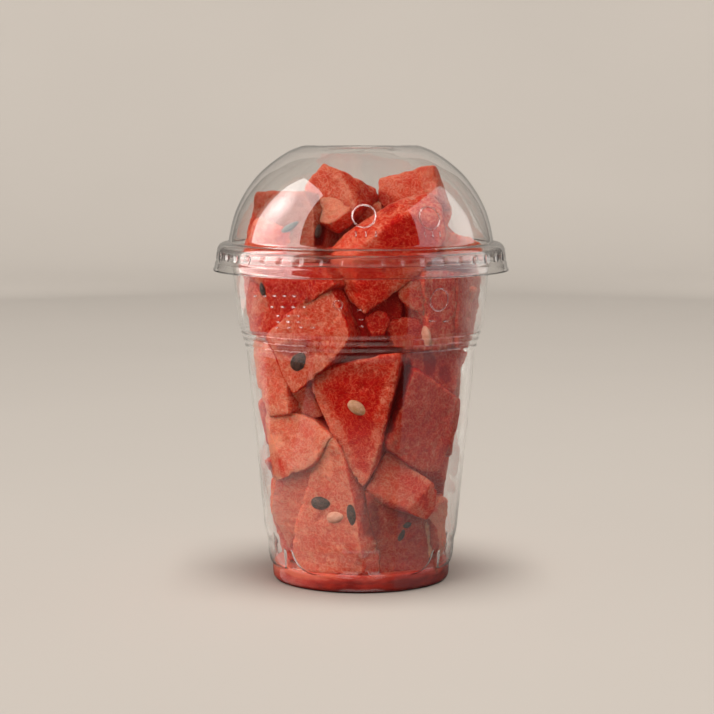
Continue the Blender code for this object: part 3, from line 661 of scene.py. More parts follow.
def flesh_material():
    """Moist melon: grainy and veined, deep red inside some cut faces and paler towards edges, which is
    partly a painted highlight along the edges.

    A faint red glow stands for the light that the flesh passes on deep inside the heap.
    """
    n = Material("watermelon_flesh")
    deep, tone_and_shading = (n.add("Attribute", output="Fac", attribute_name=name) for name in ("deep", "tone_and_shading"))
    clouds = n.noise(150.0, 4.0, Roughness=0.62, Distortion=1.4)
    grain = n.noise(700.0, 3.0)
    fine = n.noise(2300.0)
    bent = n.add("VectorMath", {0: n.noise(420.0, output=1), 1: (0.004, 0.004, 0.004), 2: n.place},
                 operation="MULTIPLY_ADD")
    swirl = n.borders(n.noise(200.0, output=1), 8.0)
    thread = n.math("MULTIPLY", n.spread(n.borders(bent, 240.0), 0.0, 0.10, 1.0, 0.0),
                    n.spread(n.noise(230.0), 0.40, 0.60, 0.0, 1.0))
    mottle = n.math("ADD", n.spread(clouds, 0.3, 0.7, -0.18, 0.18),
                    n.spread(grain, 0.28, 0.72, -0.065, 0.055), n.spread(fine, 0.3, 0.7, -0.02, 0.02),
                    n.spread(swirl, 0.0, 0.16, -0.32, 0.06), n.spread(thread, 0.0, 1.0, 0.0, -0.12))
    depth = n.math("ADD", n.math("MULTIPLY", mottle, n.spread(deep, 0.2, 0.7, 0.6, 1.15)), deep)
    colour = n.ramp(depth, (0.0, (0.79, 0.268, 0.163)), (0.2, (0.73, 0.148, 0.078)),
                    (0.45, (0.65, 0.046, 0.018)), (0.8, (0.52, 0.0055, 0.0028)))
    frost = n.math("ADD", n.spread(grain, 0.25, 0.75, 1.055, 0.935), n.spread(fine, 0.3, 0.7, 0.025, -0.025),
                   n.spread(thread, 0.0, 1.0, 0.0, 0.08))
    # The tone paints light and shade: chunks in shade are darker, lit places and edges brighter, besides
    # tone that differs at random.
    toned = n.add("HueSaturation", {"Color": colour, "Value": n.math("MULTIPLY", tone_and_shading, frost)})
    relief = ((grain, -0.6), (fine, 0.2), (clouds, 1.6), (thread, 0.3))
    heights = n.math("ADD", *(n.math("MULTIPLY", source, share) for source, share in relief))
    drops = n.add("TexVoronoi", {"Vector": n.place, "Scale": 190.0}, "Distance")
    return n.finish(n.add("BsdfPrincipled", {
        "Base Color": toned, "Roughness": n.spread(clouds, 0.3, 0.7, 0.28, 0.45), "IOR": 1.36,
        "Specular IOR Level": 0.05, "Subsurface Weight": 0.75, "Subsurface Radius": (1.0, 0.15, 0.08),
        "Subsurface Scale": 0.005, "Coat Weight": n.spread(drops, 0.06, 0.16, 1.0, 0.12),
        "Coat Roughness": 0.10, "Coat IOR": 1.34, "Emission Color": (1.0, 0.02, 0.01, 1.0),
        "Emission Strength": 0.018, "Normal": n.bump(heights, 0.7, 0.0004),
    }))


def seed_material(name, dark, light, roughness):
    n = Material(name)
    mottle = n.noise(900.0, 4.0)
    return n.finish(n.add("BsdfPrincipled", {
        "Base Color": n.ramp(mottle, (0.35, dark), (0.7, light)), "Roughness": roughness,
        "Specular IOR Level": 0.35, "Normal": n.bump(mottle, 0.6, 0.0004),
    }))


def juice_material():
    """Red juice with flesh in it, streaky, deepest low down at the front, and painted paler at the left as
    painted light from that side.
    """
    n = Material("watermelon_juice")
    flat = n.add("VectorMath", {0: n.place, 1: (0.7, 0.7, 2.0)}, operation="MULTIPLY")
    paler = n.math("ADD", n.noise(150.0, 5.0, flat, Roughness=0.62),
                   # Paler towards the left: painted light from the lamps at the left.
                   n.spread(n.along("X"), -0.024, -0.004, 0.32, 0.0),
                   n.spread(n.along("Z"), 0.0034, 0.0046, -0.22, 0.0))
    colour = n.ramp(paler, (0.27, (0.26, 0.006, 0.003)), (0.46, (0.53, 0.026, 0.013)),
                    (0.72, (0.76, 0.15, 0.085)))
    return n.finish(n.add("BsdfPrincipled", {
        "Base Color": colour, "Roughness": 0.12, "IOR": 1.34, "Subsurface Weight": 0.5,
        "Subsurface Radius": (1.0, 0.2, 0.12), "Subsurface Scale": 0.002,
    }))


def stage_material(name, colour, hidden_share, glow=0.0):
    """Matt; hidden_share(material) says how much of it is out of sight for a ray."""
    n = Material(name)
    tinted = n.ramp(n.noise(3.0, 3.0), (0.3, tuple(c * 0.97 for c in colour)), (0.7, colour))
    matte = n.add("BsdfPrincipled", {"Base Color": tinted, "Roughness": 0.9, "Emission Color": tinted,
                                     "Emission Strength": glow})
    return n.finish(n.add("MixShader", {0: hidden_share(n), 1: matte, 2: n.add("BsdfTransparent")}))


def reflected(n, operation="GREATER_THAN"):
    return n.math(operation, n.add("LightPath", output="Glossy Depth"), 0.5)


def hidden_card(n):
    """Cards are seen in reflections alone."""
    return reflected(n, "LESS_THAN")


def hidden_floor(n):
    """In reflections the floor fades out in front of the cup, at its right and by its foot."""
    away = n.add("VectorMath", {0: n.place}, "Value", operation="LENGTH")
    ahead = n.spread(n.along("Y"), 0.04, 0.20, 1.0, 0.0)
    outer = n.math("MAXIMUM", n.spread(away, *REFLECTED_FLOOR, 0.0, 1.0),
                   n.spread(n.along("X"), 0.0, 0.05, 0.0, 0.65))
    faded = n.math("MAXIMUM", n.math("MULTIPLY", outer, ahead), n.spread(away, 0.035, 0.07, 0.7, 0.0))
    return n.math("MULTIPLY", reflected(n), faded)


# --- Cup and lid --------------------------------------------------------------------------------
def groove_mask(arc, height, left, right):
    """1 on a lobe and 0 in a groove: arc is how far a point lies past the groove's middle.

    left and right are the corner radii of the lobes beside the groove.
    """
    def corner(radius):
        drop = np.clip(LOBE_FOOT + radius - height, 0, radius)
        return radius - np.sqrt(radius ** 2 - drop ** 2)

    mask = np.where(arc > 0, smoothstep(corner(right), corner(right) + LOBE_SIDE, arc),
                    smoothstep(corner(left), corner(left) + LOBE_SIDE, -arc))
    return np.maximum(mask, smoothstep(LOBE_GROOVE_TOP - 2.5, LOBE_GROOVE_TOP, height))


def cup_shape(radii, heights, angles):
    """Presses the grooves between the lobes, and the fine grooves of the shoulder band."""
    pitch = 2 * math.pi / LOBE_COUNT
    middle = math.radians(LOBE_GROOVE - 90)
    number = np.round((angles - middle) / pitch)
    off = angles - middle - number * pitch
    corners = np.array(LOBE_CORNERS)[number.astype(int) % LOBE_COUNT]
    mask = groove_mask(off * radii, heights, corners[..., 0], corners[..., 1])
    low = (heights > FOOT_TOP - 0.2) & (heights < LOBE_TOP) & (radii > FOOT_RADIUS - 0.01)
    press = np.where(low, (FOOT_RADIUS - radii) * (1 - mask), 0.0)
    for groove in BAND_GROOVES:
        dip = np.exp(-((heights - groove) / BAND_GROOVE_WIDTH) ** 2)
        press = press - BAND_GROOVE_DEPTH * dip * (radii > WAIST_RADIUS)
    return press


def build_cup(material):
    """The cup's shell, from its rolled rim down to the raised panel of its base."""
    rows = [(r, z) for z, r in reversed(side_rows())]
    side = resample(rows, 3.0)
    side += [(r, z) for r, z in resample(rows, 0.4) if SHOULDER_TOP + 2 > z > BODY_TOP - 2]
    side += [(r, z) for r, z in resample(rows, 0.6) if z < WAIST_HEIGHT + 2]
    side = sorted(set(side), key=lambda p: -p[1])
    lobe = FOOT_RADIUS + LOBE_BULGE
    low = curve_through([(lobe, LOBE_TOP - 0.6), (lobe - 0.12, 11), (lobe - 0.35, 8.4), (lobe - 0.85, 6.4),
                         (FOOT_RADIUS + 0.35, 5.5), (FOOT_RADIUS, FOOT_TOP - 0.1)], 5)
    foot = [(FOOT_RADIUS, 3.0), (FOOT_RADIUS, 1.4), (FOOT_RADIUS - 0.35, 0.5), (FLAT_OUTER, 0.0),
            (FLAT_INNER + 1.2, 0.0), (FLAT_INNER, 0.15), (BASE_PANEL + 1.6, 1.2),
            (BASE_PANEL + 0.4, BASE_RISE - 0.3), (BASE_PANEL - 1.0, BASE_RISE)]
    panel = [(20, BASE_RISE), (14, BASE_RISE - 0.1), (7, BASE_RISE - 0.2), (0, BASE_RISE - 0.2)]
    outside = soften(side + low[1:] + resample(foot, 0.8) + panel, 3)
    outside[-1] = panel[-1]
    # The wall runs up into the rim: its outside becomes the underside of the roll.
    middle = RIM_ROLL - CUP_WALL / 2
    roll = [(RIM_MIDDLE + middle * math.cos(a), RIM_HEIGHT + middle * math.sin(a))
            for a in map(math.radians, np.linspace(*ROLL_TURN, 18))]
    profile = roll + [tuple(p) for p in outside]
    angles = np.linspace(0, 2 * math.pi, CUP_STEPS, endpoint=False) + math.radians(LOBE_GROOVE - 90)
    return revolve("cup_shell", profile, CUP_WALL, angles, material, cup_shape)


def lug_shape(radii, heights, angles):
    """Small wedges pressed into the skirt, deepest at their left."""
    pitch = 2 * math.pi / LUG_COUNT
    middle = math.radians(LUG_AZIMUTH - 90)
    off = ((angles - middle + pitch / 2) % pitch - pitch / 2) * radii
    low, high = LUG_HEIGHTS
    start = smoothstep(-LUG_WIDTH * 0.62, -LUG_WIDTH * 0.38, off)
    stop = smoothstep(-0.1, LUG_WIDTH * 0.75, off)
    up = smoothstep(low, low + 0.5, heights) * (1 - smoothstep(high - 0.4, high, heights))
    return -LUG_DEPTH * start * (1 - stop) * up * (radii > LUG_INNER)


def lid_profile():
    """The lid's outer side as (radius, height), from the middle of its top down to the skirt's lip."""
    sunk = HEIGHT - RECESS_DEPTH
    step = [(RECESS_RADIUS - 2.2, sunk), (RECESS_RADIUS - 1.0, sunk), (RECESS_RADIUS, HEIGHT),
            (RECESS_RADIUS + 1.2, HEIGHT)]
    top = (resample([(0.0, sunk), step[0]], 2.0)[:-1] + soften(resample(step, 0.4), 2).tolist()
           + resample([step[-1], (LID_TOP_RADIUS - 0.4, HEIGHT)], 1.3)[1:])
    dome = curve_through([(r, z) for z, r in reversed(DOME_ROWS)], 4)
    flange = [(44.8, 113.25), (45.4, 113.15), (46.1, 113.0), (46.8, 112.65), (47.45, 112.0),
              (FLANGE_RADIUS - 0.1, FLANGE_HEIGHT + 0.2), (FLANGE_RADIUS + 0.06, 110.6), (48.02, 110.2)]
    flare = [(48.2, 107.5), (48.3, 106.9), (48.62, 106.5), (48.75, 105.6), (48.95, 104.6),
             (SKIRT_RADIUS - 0.12, 104.3), (SKIRT_RADIUS, 104.0), (SKIRT_RADIUS - 0.12, SKIRT_BOTTOM)]
    skirt = resample([flange[-1], flare[0]], 0.4)
    lower = (soften(resample(flange, 0.33), 2).tolist() + skirt[1:]
             + soften(resample(flare, 0.3), 1).tolist()[1:])
    corner = [(44.1, DOME_BASE), (44.4, DOME_BASE - 0.2)]
    return [tuple(p) for p in top] + dome[1:-1] + corner + lower


def build_lid(material):
    """The lid's shell, with more columns by its lugs."""
    share = np.linspace(0, 1, LUG_STEPS, endpoint=False)
    pitch = 2 * math.pi / LUG_COUNT
    share = share - LUG_CROWDING * np.sin(2 * math.pi * share)
    angles = np.concatenate([(i + share) * pitch for i in range(LUG_COUNT)])
    angles += math.radians(LUG_AZIMUTH - 90)
    return revolve("lid_shell", lid_profile(), LID_WALL, angles, material, lug_shape)


# --- Plain moulded marks ------------------------------------------------------------------------
def on_front(across, up, radius_at):
    """Azimuth and height where a sight line first meets a surface of revolution."""
    ray = sight(across, up)
    y = -NECK_RADIUS
    for _ in range(12):
        point = eye() + ray * ((VIEW_DISTANCE + y) / ray.y)
        y = -math.sqrt(max(radius_at(point.z) ** 2 - point.x ** 2, 1.0))
    return math.atan2(point.x, -y), point.z


def cup_radius(height):
    return blend(side_rows(), height)


def on_surface(azimuth, height, aside, upward, radius_at):
    """A point and its outward normal, some way aside and upward from a place on the surface."""
    slope = radius_at(height + 0.5) - radius_at(height - 0.5)
    rise = upward / math.hypot(1.0, slope)
    radius = radius_at(height + rise)
    turn = azimuth + aside / radius
    out = np.array((math.sin(turn), -math.cos(turn), -slope))
    place = np.array((radius * math.sin(turn), -radius * math.cos(turn), height + rise))
    return place, out / np.linalg.norm(out)


def ridge(path, closed, points, faces):
    """A low rounded ridge along (place, normal) pairs, half sunk in the plastic."""
    sides, start, count = MARK_SIDES, len(points), len(path)
    for i, (place, out) in enumerate(path):
        ahead = path[(i + 1) % count][0] if closed or i < count - 1 else place
        back = path[i - 1][0] if closed or i else place
        along = ahead - back
        across = np.cross(along / np.linalg.norm(along), out)
        swell = 1.0 if closed or 0 < i < count - 1 else 0.35
        for k in range(sides):
            a = 2 * math.pi * k / sides
            points.append(place + across * (math.cos(a) * MARK_HALF_WIDTH * swell)
                          + out * (math.sin(a) * MARK_RISE * swell))
    for i in range(count if closed else count - 1):
        a, b = start + i * sides, start + (i + 1) % count * sides
        faces += [(a + k, b + k, b + (k + 1) % sides, a + (k + 1) % sides) for k in range(sides)]
    if not closed:
        faces += [tuple(range(start, start + sides))[::-1],
                  tuple(range(start + (count - 1) * sides, start + count * sides))]


def build_marks(name, rows, rings, radius_at, material):
    """Rows of bars, and rings, as one piece on a surface of revolution."""
    points, faces = [], []
    for left, right, up, count, wide, high in rows:
        for i in range(count):
            across = left + (right - left) * i / max(count - 1, 1)
            place = on_front(across, up, radius_at)
            path = [on_surface(*place, wide * end, high * end, radius_at) for end in BAR_POINTS]
            ridge(path, False, points, faces)
    for across, up, size in rings:
        place = on_front(across, up, radius_at)
        turns = [2 * math.pi * i / RING_STEPS for i in range(RING_STEPS)]
        ridge([on_surface(*place, size * math.cos(a), size * math.sin(a), radius_at) for a in turns],
              True, points, faces)
    obj = new_mesh(name, points, faces, material)
    outward(obj)
    return obj


# --- Fruit --------------------------------------------------------------------------------------
def chunk_points(chunk):
    """The corners of a chunk that shows: its face, its folds, and the hidden end behind them."""
    across = sum(x for x, _ in chunk.corners) / len(chunk.corners)
    up = sum(z for _, z in chunk.corners) / len(chunk.corners)
    wall = math.sqrt(max(wall_radius(up) ** 2 - across ** 2, 25.0))
    ray = sight(across, up)
    middle = eye() + ray * ((VIEW_DISTANCE - wall + chunk.gap) / ray.y)
    normal = direction(chunk.turn, chunk.lean)

    def on_face(x, z, depth=0.0):
        ray = sight(x, z)
        return eye() + ray * ((middle - eye()).dot(normal) / ray.dot(normal) + depth / ray.y)

    face = [on_face(*corner) for corner in chunk.corners]
    folds = [on_face(*fold) for fold in chunk.folds]
    centre = sum(face, Vector()) / len(face)
    behind = [centre + (p - centre) * BACK_SHRINK - normal * chunk.thick for p in face + folds]
    return face, folds + behind, normal


def keep_behind(point):
    """Moves a point into the room that REACH and SKYLINE leave."""
    left, right = blend(REACH, point.z, 1), blend(REACH, point.z, 2)
    point.x = min(max(point.x, -left), right)
    skyline = blend(SKYLINE, point.x) - SKYLINE_SLOPE * point.y
    point.z = min(max(point.z, FRUIT_BOTTOM), skyline)
    return point


def wall_chunk_points(azimuth, height, draw):
    """The corners of a chunk by the wall, where the camera doesn't see it."""
    sides = draw.choice((3, 4, 4, 5))
    reach = draw.uniform(*WALL_CHUNK_REACH)
    angle = math.radians(azimuth)
    radius = wall_radius(height) - draw.uniform(*WALL_CHUNK_GAP)
    centre = Vector((radius * math.sin(angle), -radius * math.cos(angle), height))
    tilt = draw.uniform(*WALL_CHUNK_TURN) + max(0.0, height - DOME_BASE + 8) * 2.5
    normal = direction(azimuth + draw.uniform(*WALL_CHUNK_TURN), tilt)
    side, up = beside(normal)
    roll = draw.uniform(0, 2 * math.pi)
    face = []
    for i in range(sides):
        around = roll + 2 * math.pi * (i + draw.uniform(-0.16, 0.16)) / sides
        out = reach * draw.uniform(*WALL_CHUNK_SPREAD)
        face.append(centre + (side * math.cos(around) + up * math.sin(around)) * out)
    thick = draw.uniform(*WALL_CHUNK_THICK)
    behind = [centre + (p - centre) * BACK_SHRINK - normal * thick for p in face]
    return [keep_behind(p) for p in face + behind]


def block_points(place, size, draw):
    """The corners of a slanted block in the top of the heap."""
    normal = direction(draw.uniform(0, 360), draw.uniform(*TOP_LEAN))
    side, up = beside(normal)
    points = []
    for a in (-1, 1):
        for b in (-1, 1):
            for c in (-1, 1):
                slant = draw.uniform(*TOP_SLANT) * size / 2
                points.append(keep_behind(place + (side * a + up * b + normal * c) * slant))
    return points


def fill_chunks():
    """The corners of the chunks round the back and in the top."""
    draw = random.Random(FRUIT_SEED)
    chunks = []
    for level, height in enumerate(FILL_HEIGHTS):
        azimuth = FILL_FIRST + (level % 2) * FILL_STEP / 2
        while azimuth <= 360 - FILL_FIRST:
            chunks.append(wall_chunk_points(azimuth, height + draw.uniform(-3, 3), draw))
            azimuth += FILL_STEP
    for place in TOP_FILL:
        chunks.append(block_points(Vector(place), draw.uniform(*TOP_SIZE), draw))
    return chunks


def hashed(cells, seed):
    """A number from 0 to 1 for each whole-numbered cell."""
    x, y, z = (cells[:, i].astype(np.uint32) for i in range(3))
    mixed = x * np.uint32(374761393) + y * np.uint32(668265263) + z * np.uint32(2147483647)
    mixed += np.uint32(seed * 97)
    mixed = (mixed ^ (mixed >> np.uint32(13))) * np.uint32(1274126177)
    return (mixed ^ (mixed >> np.uint32(16))).astype(np.float64) / 2 ** 32


def wobble(points, size, seed):
    """Smooth noise from -1 to 1 over points in millimetres, with lumps of about that size."""
    scaled = points / size
    base = np.floor(scaled)
    part = scaled - base
    part = part * part * (3 - 2 * part)
    cells = base.astype(np.int64)
    total = np.zeros(len(points))
    for corner in range(8):
        offset = np.array([(corner >> i) & 1 for i in range(3)])
        weight = np.prod(np.where(offset == 1, part, 1 - part), axis=1)
        total += weight * hashed(cells + offset, seed)
    return total * 2 - 1


def wall_radii(heights):
    """wall_radius for many heights at once."""
    ladder = np.arange(0.0, HEIGHT + 0.5, 0.5)
    return np.interp(heights, ladder, [wall_radius(z) for z in ladder])


def chunk_mesh(points, voxel):
    """A closed block round its corners, cut fine enough for its grain: points, faces, planes."""
    shape = bmesh.new()
    for point in points:
        shape.verts.new(point * MM)
    bmesh.ops.convex_hull(shape, input=shape.verts)
    bmesh.ops.delete(shape, geom=[v for v in shape.verts if not v.link_faces], context="VERTS")
    planes = []
    for face in shape.faces:
        normal = np.array(face.normal)
        away = float(normal @ np.array(face.verts[0].co)) / MM
        if all(normal @ n < FLAT_TURN for n, _ in planes):
            planes.append((normal, away))
    mesh = bpy.data.meshes.new("block")
    shape.to_mesh(mesh)
    shape.free()
    obj = new_object("block", mesh)
    remesh = obj.modifiers.new("voxels", "REMESH")
    remesh.mode = "VOXEL"
    remesh.voxel_size = voxel * MM
    even = obj.modifiers.new("even", "SMOOTH")
    even.factor = 0.5
    even.iterations = 2
    graph = bpy.context.evaluated_depsgraph_get()
    fine = bpy.data.meshes.new_from_object(obj.evaluated_get(graph))
    where = np.empty(len(fine.vertices) * 3)
    fine.vertices.foreach_get("co", where)
    faces = [tuple(p.vertices) for p in fine.polygons]
    bpy.data.objects.remove(obj, do_unlink=True)
    bpy.data.meshes.remove(mesh)
    bpy.data.meshes.remove(fine)
    return where.reshape(-1, 3) / MM, faces, planes


def worn(points, planes, number):
    """Rounds a block's edges unevenly and roughens its faces.

    Gives the points, the way each of them faces, and how near it lies to an edge.
    """
    normals = np.array([n for n, _ in planes])
    away = np.array([c for _, c in planes])
    outside = points @ normals.T - away
    keen = (2.4 + 1.1 * wobble(points, 5.0, number + 3))[:, None]
    top = outside.max(axis=1, keepdims=True)
    weights = np.exp(keen * (outside - top))
    total = weights.sum(axis=1, keepdims=True)
    level = (top + np.log(total) / keen)[:, 0]
    facing = (weights / total) @ normals
    facing /= np.linalg.norm(facing, axis=1, keepdims=True)
    second = np.sort(outside, axis=1)[:, -2]
    edge = np.exp(second / 1.4)
    draw = random.Random(number)
    axis = np.array(Vector([draw.uniform(-1, 1) for _ in range(3)]).normalized())
    fibres = points - np.outer(points @ axis, axis) * FIBRE_PULL

    def noise(kind, seed, places=points):
        return wobble(places, kind[0], number + seed)

    out = LUMPS[1] * noise(LUMPS, 0) + DENTS[1] * noise(DENTS, 11)
    out += FIBRES[1] * noise(FIBRES, 23, fibres) + GRAIN[1] * noise(GRAIN, 37)
    out -= PITS[1] * smoothstep(0.4, 0.85, noise(PITS, 41))
    out -= CHIPS[1] * edge * np.clip(noise(CHIPS, 53) + 0.1, 0.0, 1.0)
    return points + facing * (out - level)[:, None], facing, np.exp(second / 0.7)


def held_in(points):
    """Points that would pass the wall are laid against it, reaching just into the plastic."""
    radii = np.hypot(points[:, 0], points[:, 1])
    limit = wall_radii(points[:, 2]) + INTO_WALL
    share = np.minimum(1.0, limit / np.maximum(radii, 1e-6))
    held = points.copy()
    held[:, :2] *= share[:, None]
    held[:, 2] = np.maximum(held[:, 2], FRUIT_BOTTOM)
    return held


def face_depth(points, face, normal):
    """How far points by a cut face lie inside its outline, in millimetres, and 0 elsewhere."""
    plane = np.array(normal)
    corners = [np.array(p) for p in face]
    centre = sum(corners) / len(corners)
    inside = np.full(len(points), 99.0)
    for a, b in zip(corners, corners[1:] + corners[:1]):
        edge = (b - a) / np.linalg.norm(b - a)
        away = np.cross(plane, edge)
        if (centre - a) @ away < 0:
            away = -away
        inside = np.minimum(inside, (points - a) @ away)
    near = 1 - smoothstep(1.5, 3.5, np.abs((points - centre) @ plane))
    return np.clip(inside, 0, None) * near


def shade(obj, deep, tone_and_shading):
    """Gives an object's points the values that its material reads: how deep the red is and a tone, both of
    which also paint light and shade in places.
    """
    for label, values in (("deep", deep), ("tone_and_shading", tone_and_shading)):
        layer = obj.data.attributes.new(label, "FLOAT", "POINT")
        layer.data.foreach_set("value", values.astype(np.float32))


def join_chunks(name, chunks, material):
    """One piece from many chunk arrays: (points, faces, deep, tone)."""
    obj = new_mesh(name, *joined([chunk[:2] for chunk in chunks]), material)
    shade(obj, *(np.concatenate([chunk[column] for chunk in chunks]) for column in (2, 3)))
    return obj


def stain_light_and_shade(points, deep, tone_and_shading):
    """Deep and tone with the stains, painted light and painted shade laid over them, where the camera sees
    the front half.
    """
    ahead = points[:, 1] < STAINS_LIGHT_AND_SHADE_AHEAD
    scale = VIEW_DISTANCE / (VIEW_DISTANCE + points[:, 1])
    across = VIEW_OFFSET + (points[:, 0] - VIEW_OFFSET) * scale
    up = VIEW_HEIGHT + (points[:, 2] - VIEW_HEIGHT) * scale
    ragged = 0.22 * wobble(points, 2.6, 501) + 0.12 * wobble(points, 1.1, 502)
    for middle_across, middle_up, wide, high, tilt, to_deep, to_tone in STAINS_LIGHT_AND_SHADE:
        turn = math.radians(tilt)
        x, z = across - middle_across, up - middle_up
        along = (x * math.cos(turn) + z * math.sin(turn)) / wide
        aside = (z * math.cos(turn) - x * math.sin(turn)) / high
        mask = (1 - smoothstep(0.6, 1.15, np.hypot(along, aside) + ragged)) * ahead
        deep = deep + (to_deep - deep) * mask
        tone_and_shading = tone_and_shading * (1 + (to_tone - 1) * mask)
    return deep, tone_and_shading


def build_fruit(material):
    """The chunks that show, in three pieces, those behind them in one, and the core."""
    draw = random.Random(FRUIT_SEED + 1)
    groups = {name: [] for name, _ in GROUPS}
    for number, chunk in enumerate(CHUNKS):
        face, behind, normal = chunk_points(chunk)
        points, faces, planes = chunk_mesh(face + behind, VOXEL_FRONT)
        inside = face_depth(points, face, normal) + 1.6 * wobble(points, 6.0, number + 61)
        middle, rim, sides, share = DEEP_AND_SHADING.get(chunk.name, PLAIN_DEEP_AND_SHADING)
        points, facing, edge = worn(points, planes, number)
        on_face = smoothstep(0.80, 0.95, facing @ np.array(normal))
        deep = rim + (middle - rim) * smoothstep(*FACE_RIM, inside)
        # Paler at the edges: a painted highlight along the ridges.
        deep = sides + (deep - sides) * on_face - EDGE_PALER * edge
        # Brightness: the chunk's share, which paints light and shade on it, a little random tone, and a
        # painted highlight at its edges.
        tone_and_shading = share * draw.uniform(*FRONT_TONE) + EDGE_BRIGHTER * edge
        deep, tone_and_shading = stain_light_and_shade(points, deep, tone_and_shading)
        points = held_in(points)
        height = np.mean([p.z for p in face])
        group = next(name for name, bottom in GROUPS if height > bottom)
        groups[group].append((points, faces, deep, tone_and_shading))
    groups["melon_behind"] = []
    for number, corners in enumerate(fill_chunks(), 100):
        points, faces, planes = chunk_mesh(corners, VOXEL_BACK)
        deep = draw.uniform(*BACK_DEEP) + 0.3 * wobble(points, 8.0, number)
        points = held_in(worn(points, planes, number)[0])
        tone_and_shading = np.full(len(points), draw.uniform(*BACK_TONE))
        groups["melon_behind"].append((points, faces, deep, tone_and_shading))
    pieces = [join_chunks(name, chunks, material) for name, chunks in groups.items()]
    pieces.append(build_core(material))
    return pieces


def build_core(material):
    """The fruit inside the heap, which shows only in the gaps."""
    heights = np.linspace(CORE_TOP, FRUIT_BOTTOM, 60)
    side = [(wall_radius(z) - CORE_GAP, z) for z in heights]
    profile = resample([(0.0, CORE_TOP)] + side + [(0.0, FRUIT_BOTTOM)], 2.0)
    rings, faces = lathe(profile, CORE_STEPS)
    for (radius, _), ring in zip(profile, rings):
        if radius > 1:
            lumps = wobble(ring, 9.0, 71) * 1.5 + wobble(ring, 3.0, 72) * 0.5
            ring[:, :2] *= (1 + lumps / radius)[:, None]
    points = np.concatenate(rings)
    faces += [tuple(range(CORE_STEPS))[::-1], tuple(range(len(points) - CORE_STEPS, len(points)))]
    core = new_mesh("melon_core", points, faces, material)
    outward(core)
    # The core's dimmer tone is painted shade in the gaps.
    shade(core, np.full(len(points), CORE_DEEP), np.full(len(points), CORE_SHADE))
    return core


def seed_shape():
    """A flat seed with one pointed end, along X, as points and faces."""
    rings, sides = 14, 18
    points = []
    for i in range(rings + 1):
        t = i / rings
        along = -math.cos(math.pi * t) / 2
        girth = math.sin(math.pi * t) ** 0.8 * (1 - 0.35 * max(0.0, along * 2) ** 1.5)
        for j in range(sides):
            a = 2 * math.pi * j / sides
            points.append((along, girth * math.cos(a) / 2, girth * math.sin(a) / 2))
    return np.array(points), tube(rings + 1, sides)


def build_seeds(ground, materials):
    """Seeds on the first fruit met along their lines of sight, one piece for each kind."""
    graph = bpy.context.evaluated_depsgraph_get()
    trees = [BVHTree.FromObject(piece, graph) for piece in ground]
    points, faces = seed_shape()
    seeds = {kind: [] for kind in materials}
    for across, up, tilt, length, width, sunk, kind in SEEDS:
        hits = [tree.ray_cast(eye() * MM, sight(across, up)) for tree in trees]
        place, normal, _, _ = min((hit for hit in hits if hit[0] is not None), key=lambda hit: hit[3])
        tilt = math.radians(tilt)
        along = Vector((math.cos(tilt), 0.0, math.sin(tilt)))
        along = (along - normal * along.dot(normal)).normalized()
        axes = np.array([along * length, normal.cross(along) * width, normal * SEED_THICKNESS])
        lift = np.array(normal) * SEED_THICKNESS * (0.5 - sunk)
        seeds[kind].append((points @ axes + np.array(place) / MM + lift, faces))
    pieces = []
    for kind, parts in seeds.items():
        pieces.append(new_mesh("seeds_" + kind, *joined(parts), materials[kind]))
        outward(pieces[-1], MERGE)
    return pieces


def build_juice(material):
    """Juice in the foot, reaching just into the plastic."""
    wall = FOOT_RADIUS - CUP_WALL
    floor = BASE_RISE + CUP_WALL - INTO_WALL
    profile = [(0.0, JUICE_LEVEL), (wall - 1.0, JUICE_LEVEL), (wall + INTO_WALL, JUICE_LEVEL + 0.5),
               (wall + INTO_WALL, 1.3), (FLAT_OUTER, JUICE_FLOOR), (FLAT_INNER, JUICE_FLOOR),
               (BASE_PANEL + 1.4, 1.4), (BASE_PANEL, floor), (0.0, floor)]
    rings, faces = lathe(soften(resample(profile, 0.8), 2), JUICE_STEPS)
    juice = new_mesh("juice", np.concatenate(rings), faces, material)
    outward(juice, MERGE)
    return juice


# --- Stage --------------------------------------------------------------------------------------
def area_light(name, place, target, width, height, power, colour, lit):
    """A soft light for the pieces in a collection, out of the camera's sight."""
    light = bpy.data.lights.new(name, "AREA")
    light.shape = "RECTANGLE"
    light.size = width
    light.size_y = height
    light.energy = power
    light.color = colour
    obj = new_object(name, light)
    obj.location = place
    obj.rotation_euler = (Vector(target) - obj.location).to_track_quat("-Z", "Y").to_euler()
    obj.visible_camera = False
    obj.light_linking.receiver_collection = lit
    return obj


def softbox(name, azimuth, bottom, top, width, radiance, colour, lit):
    """An upright soft light facing the cup's axis."""
    middle = Vector((0, 0, (top + bottom) / 2))
    power = radiance * math.pi * width * (top - bottom)
    return area_light(name, middle + direction(azimuth) * BOX_DISTANCE, middle, width, top - bottom,
                      power, colour, lit)


def in_reflections(obj, fade=None, hot=None):
    """Keeps a light to what the plastic mirrors, so that it isn't seen through the cup.

    fade fades it between two shares of its width, and hot brightens a soft place on it.
    """
    obj.data.use_nodes = True
    n = Nodes(obj.data.node_tree)
    place = n.add("NewGeometry", output="Parametric")
    strength = n.spread(n.add("LightPath", output="Glossy Depth"), 0.4, 0.6, 0.0, 1.0)
    if fade:
        share = n.spread(n.add("SeparateXYZ", {0: place}, "X"), *fade, 0.0, 1.0)
        strength = n.math("MULTIPLY", strength, share)
    if hot:
        across, up, reach, extra = hot
        away = n.add("VectorMath", {0: place, 1: (across, up, 0.0)}, "Value", operation="DISTANCE")
        strength = n.math("MULTIPLY", strength, n.spread(away, 0.0, reach, 1.0 + extra, 1.0))
    n.tree.links.new(strength, n.tree.nodes["Emission"].inputs["Strength"])


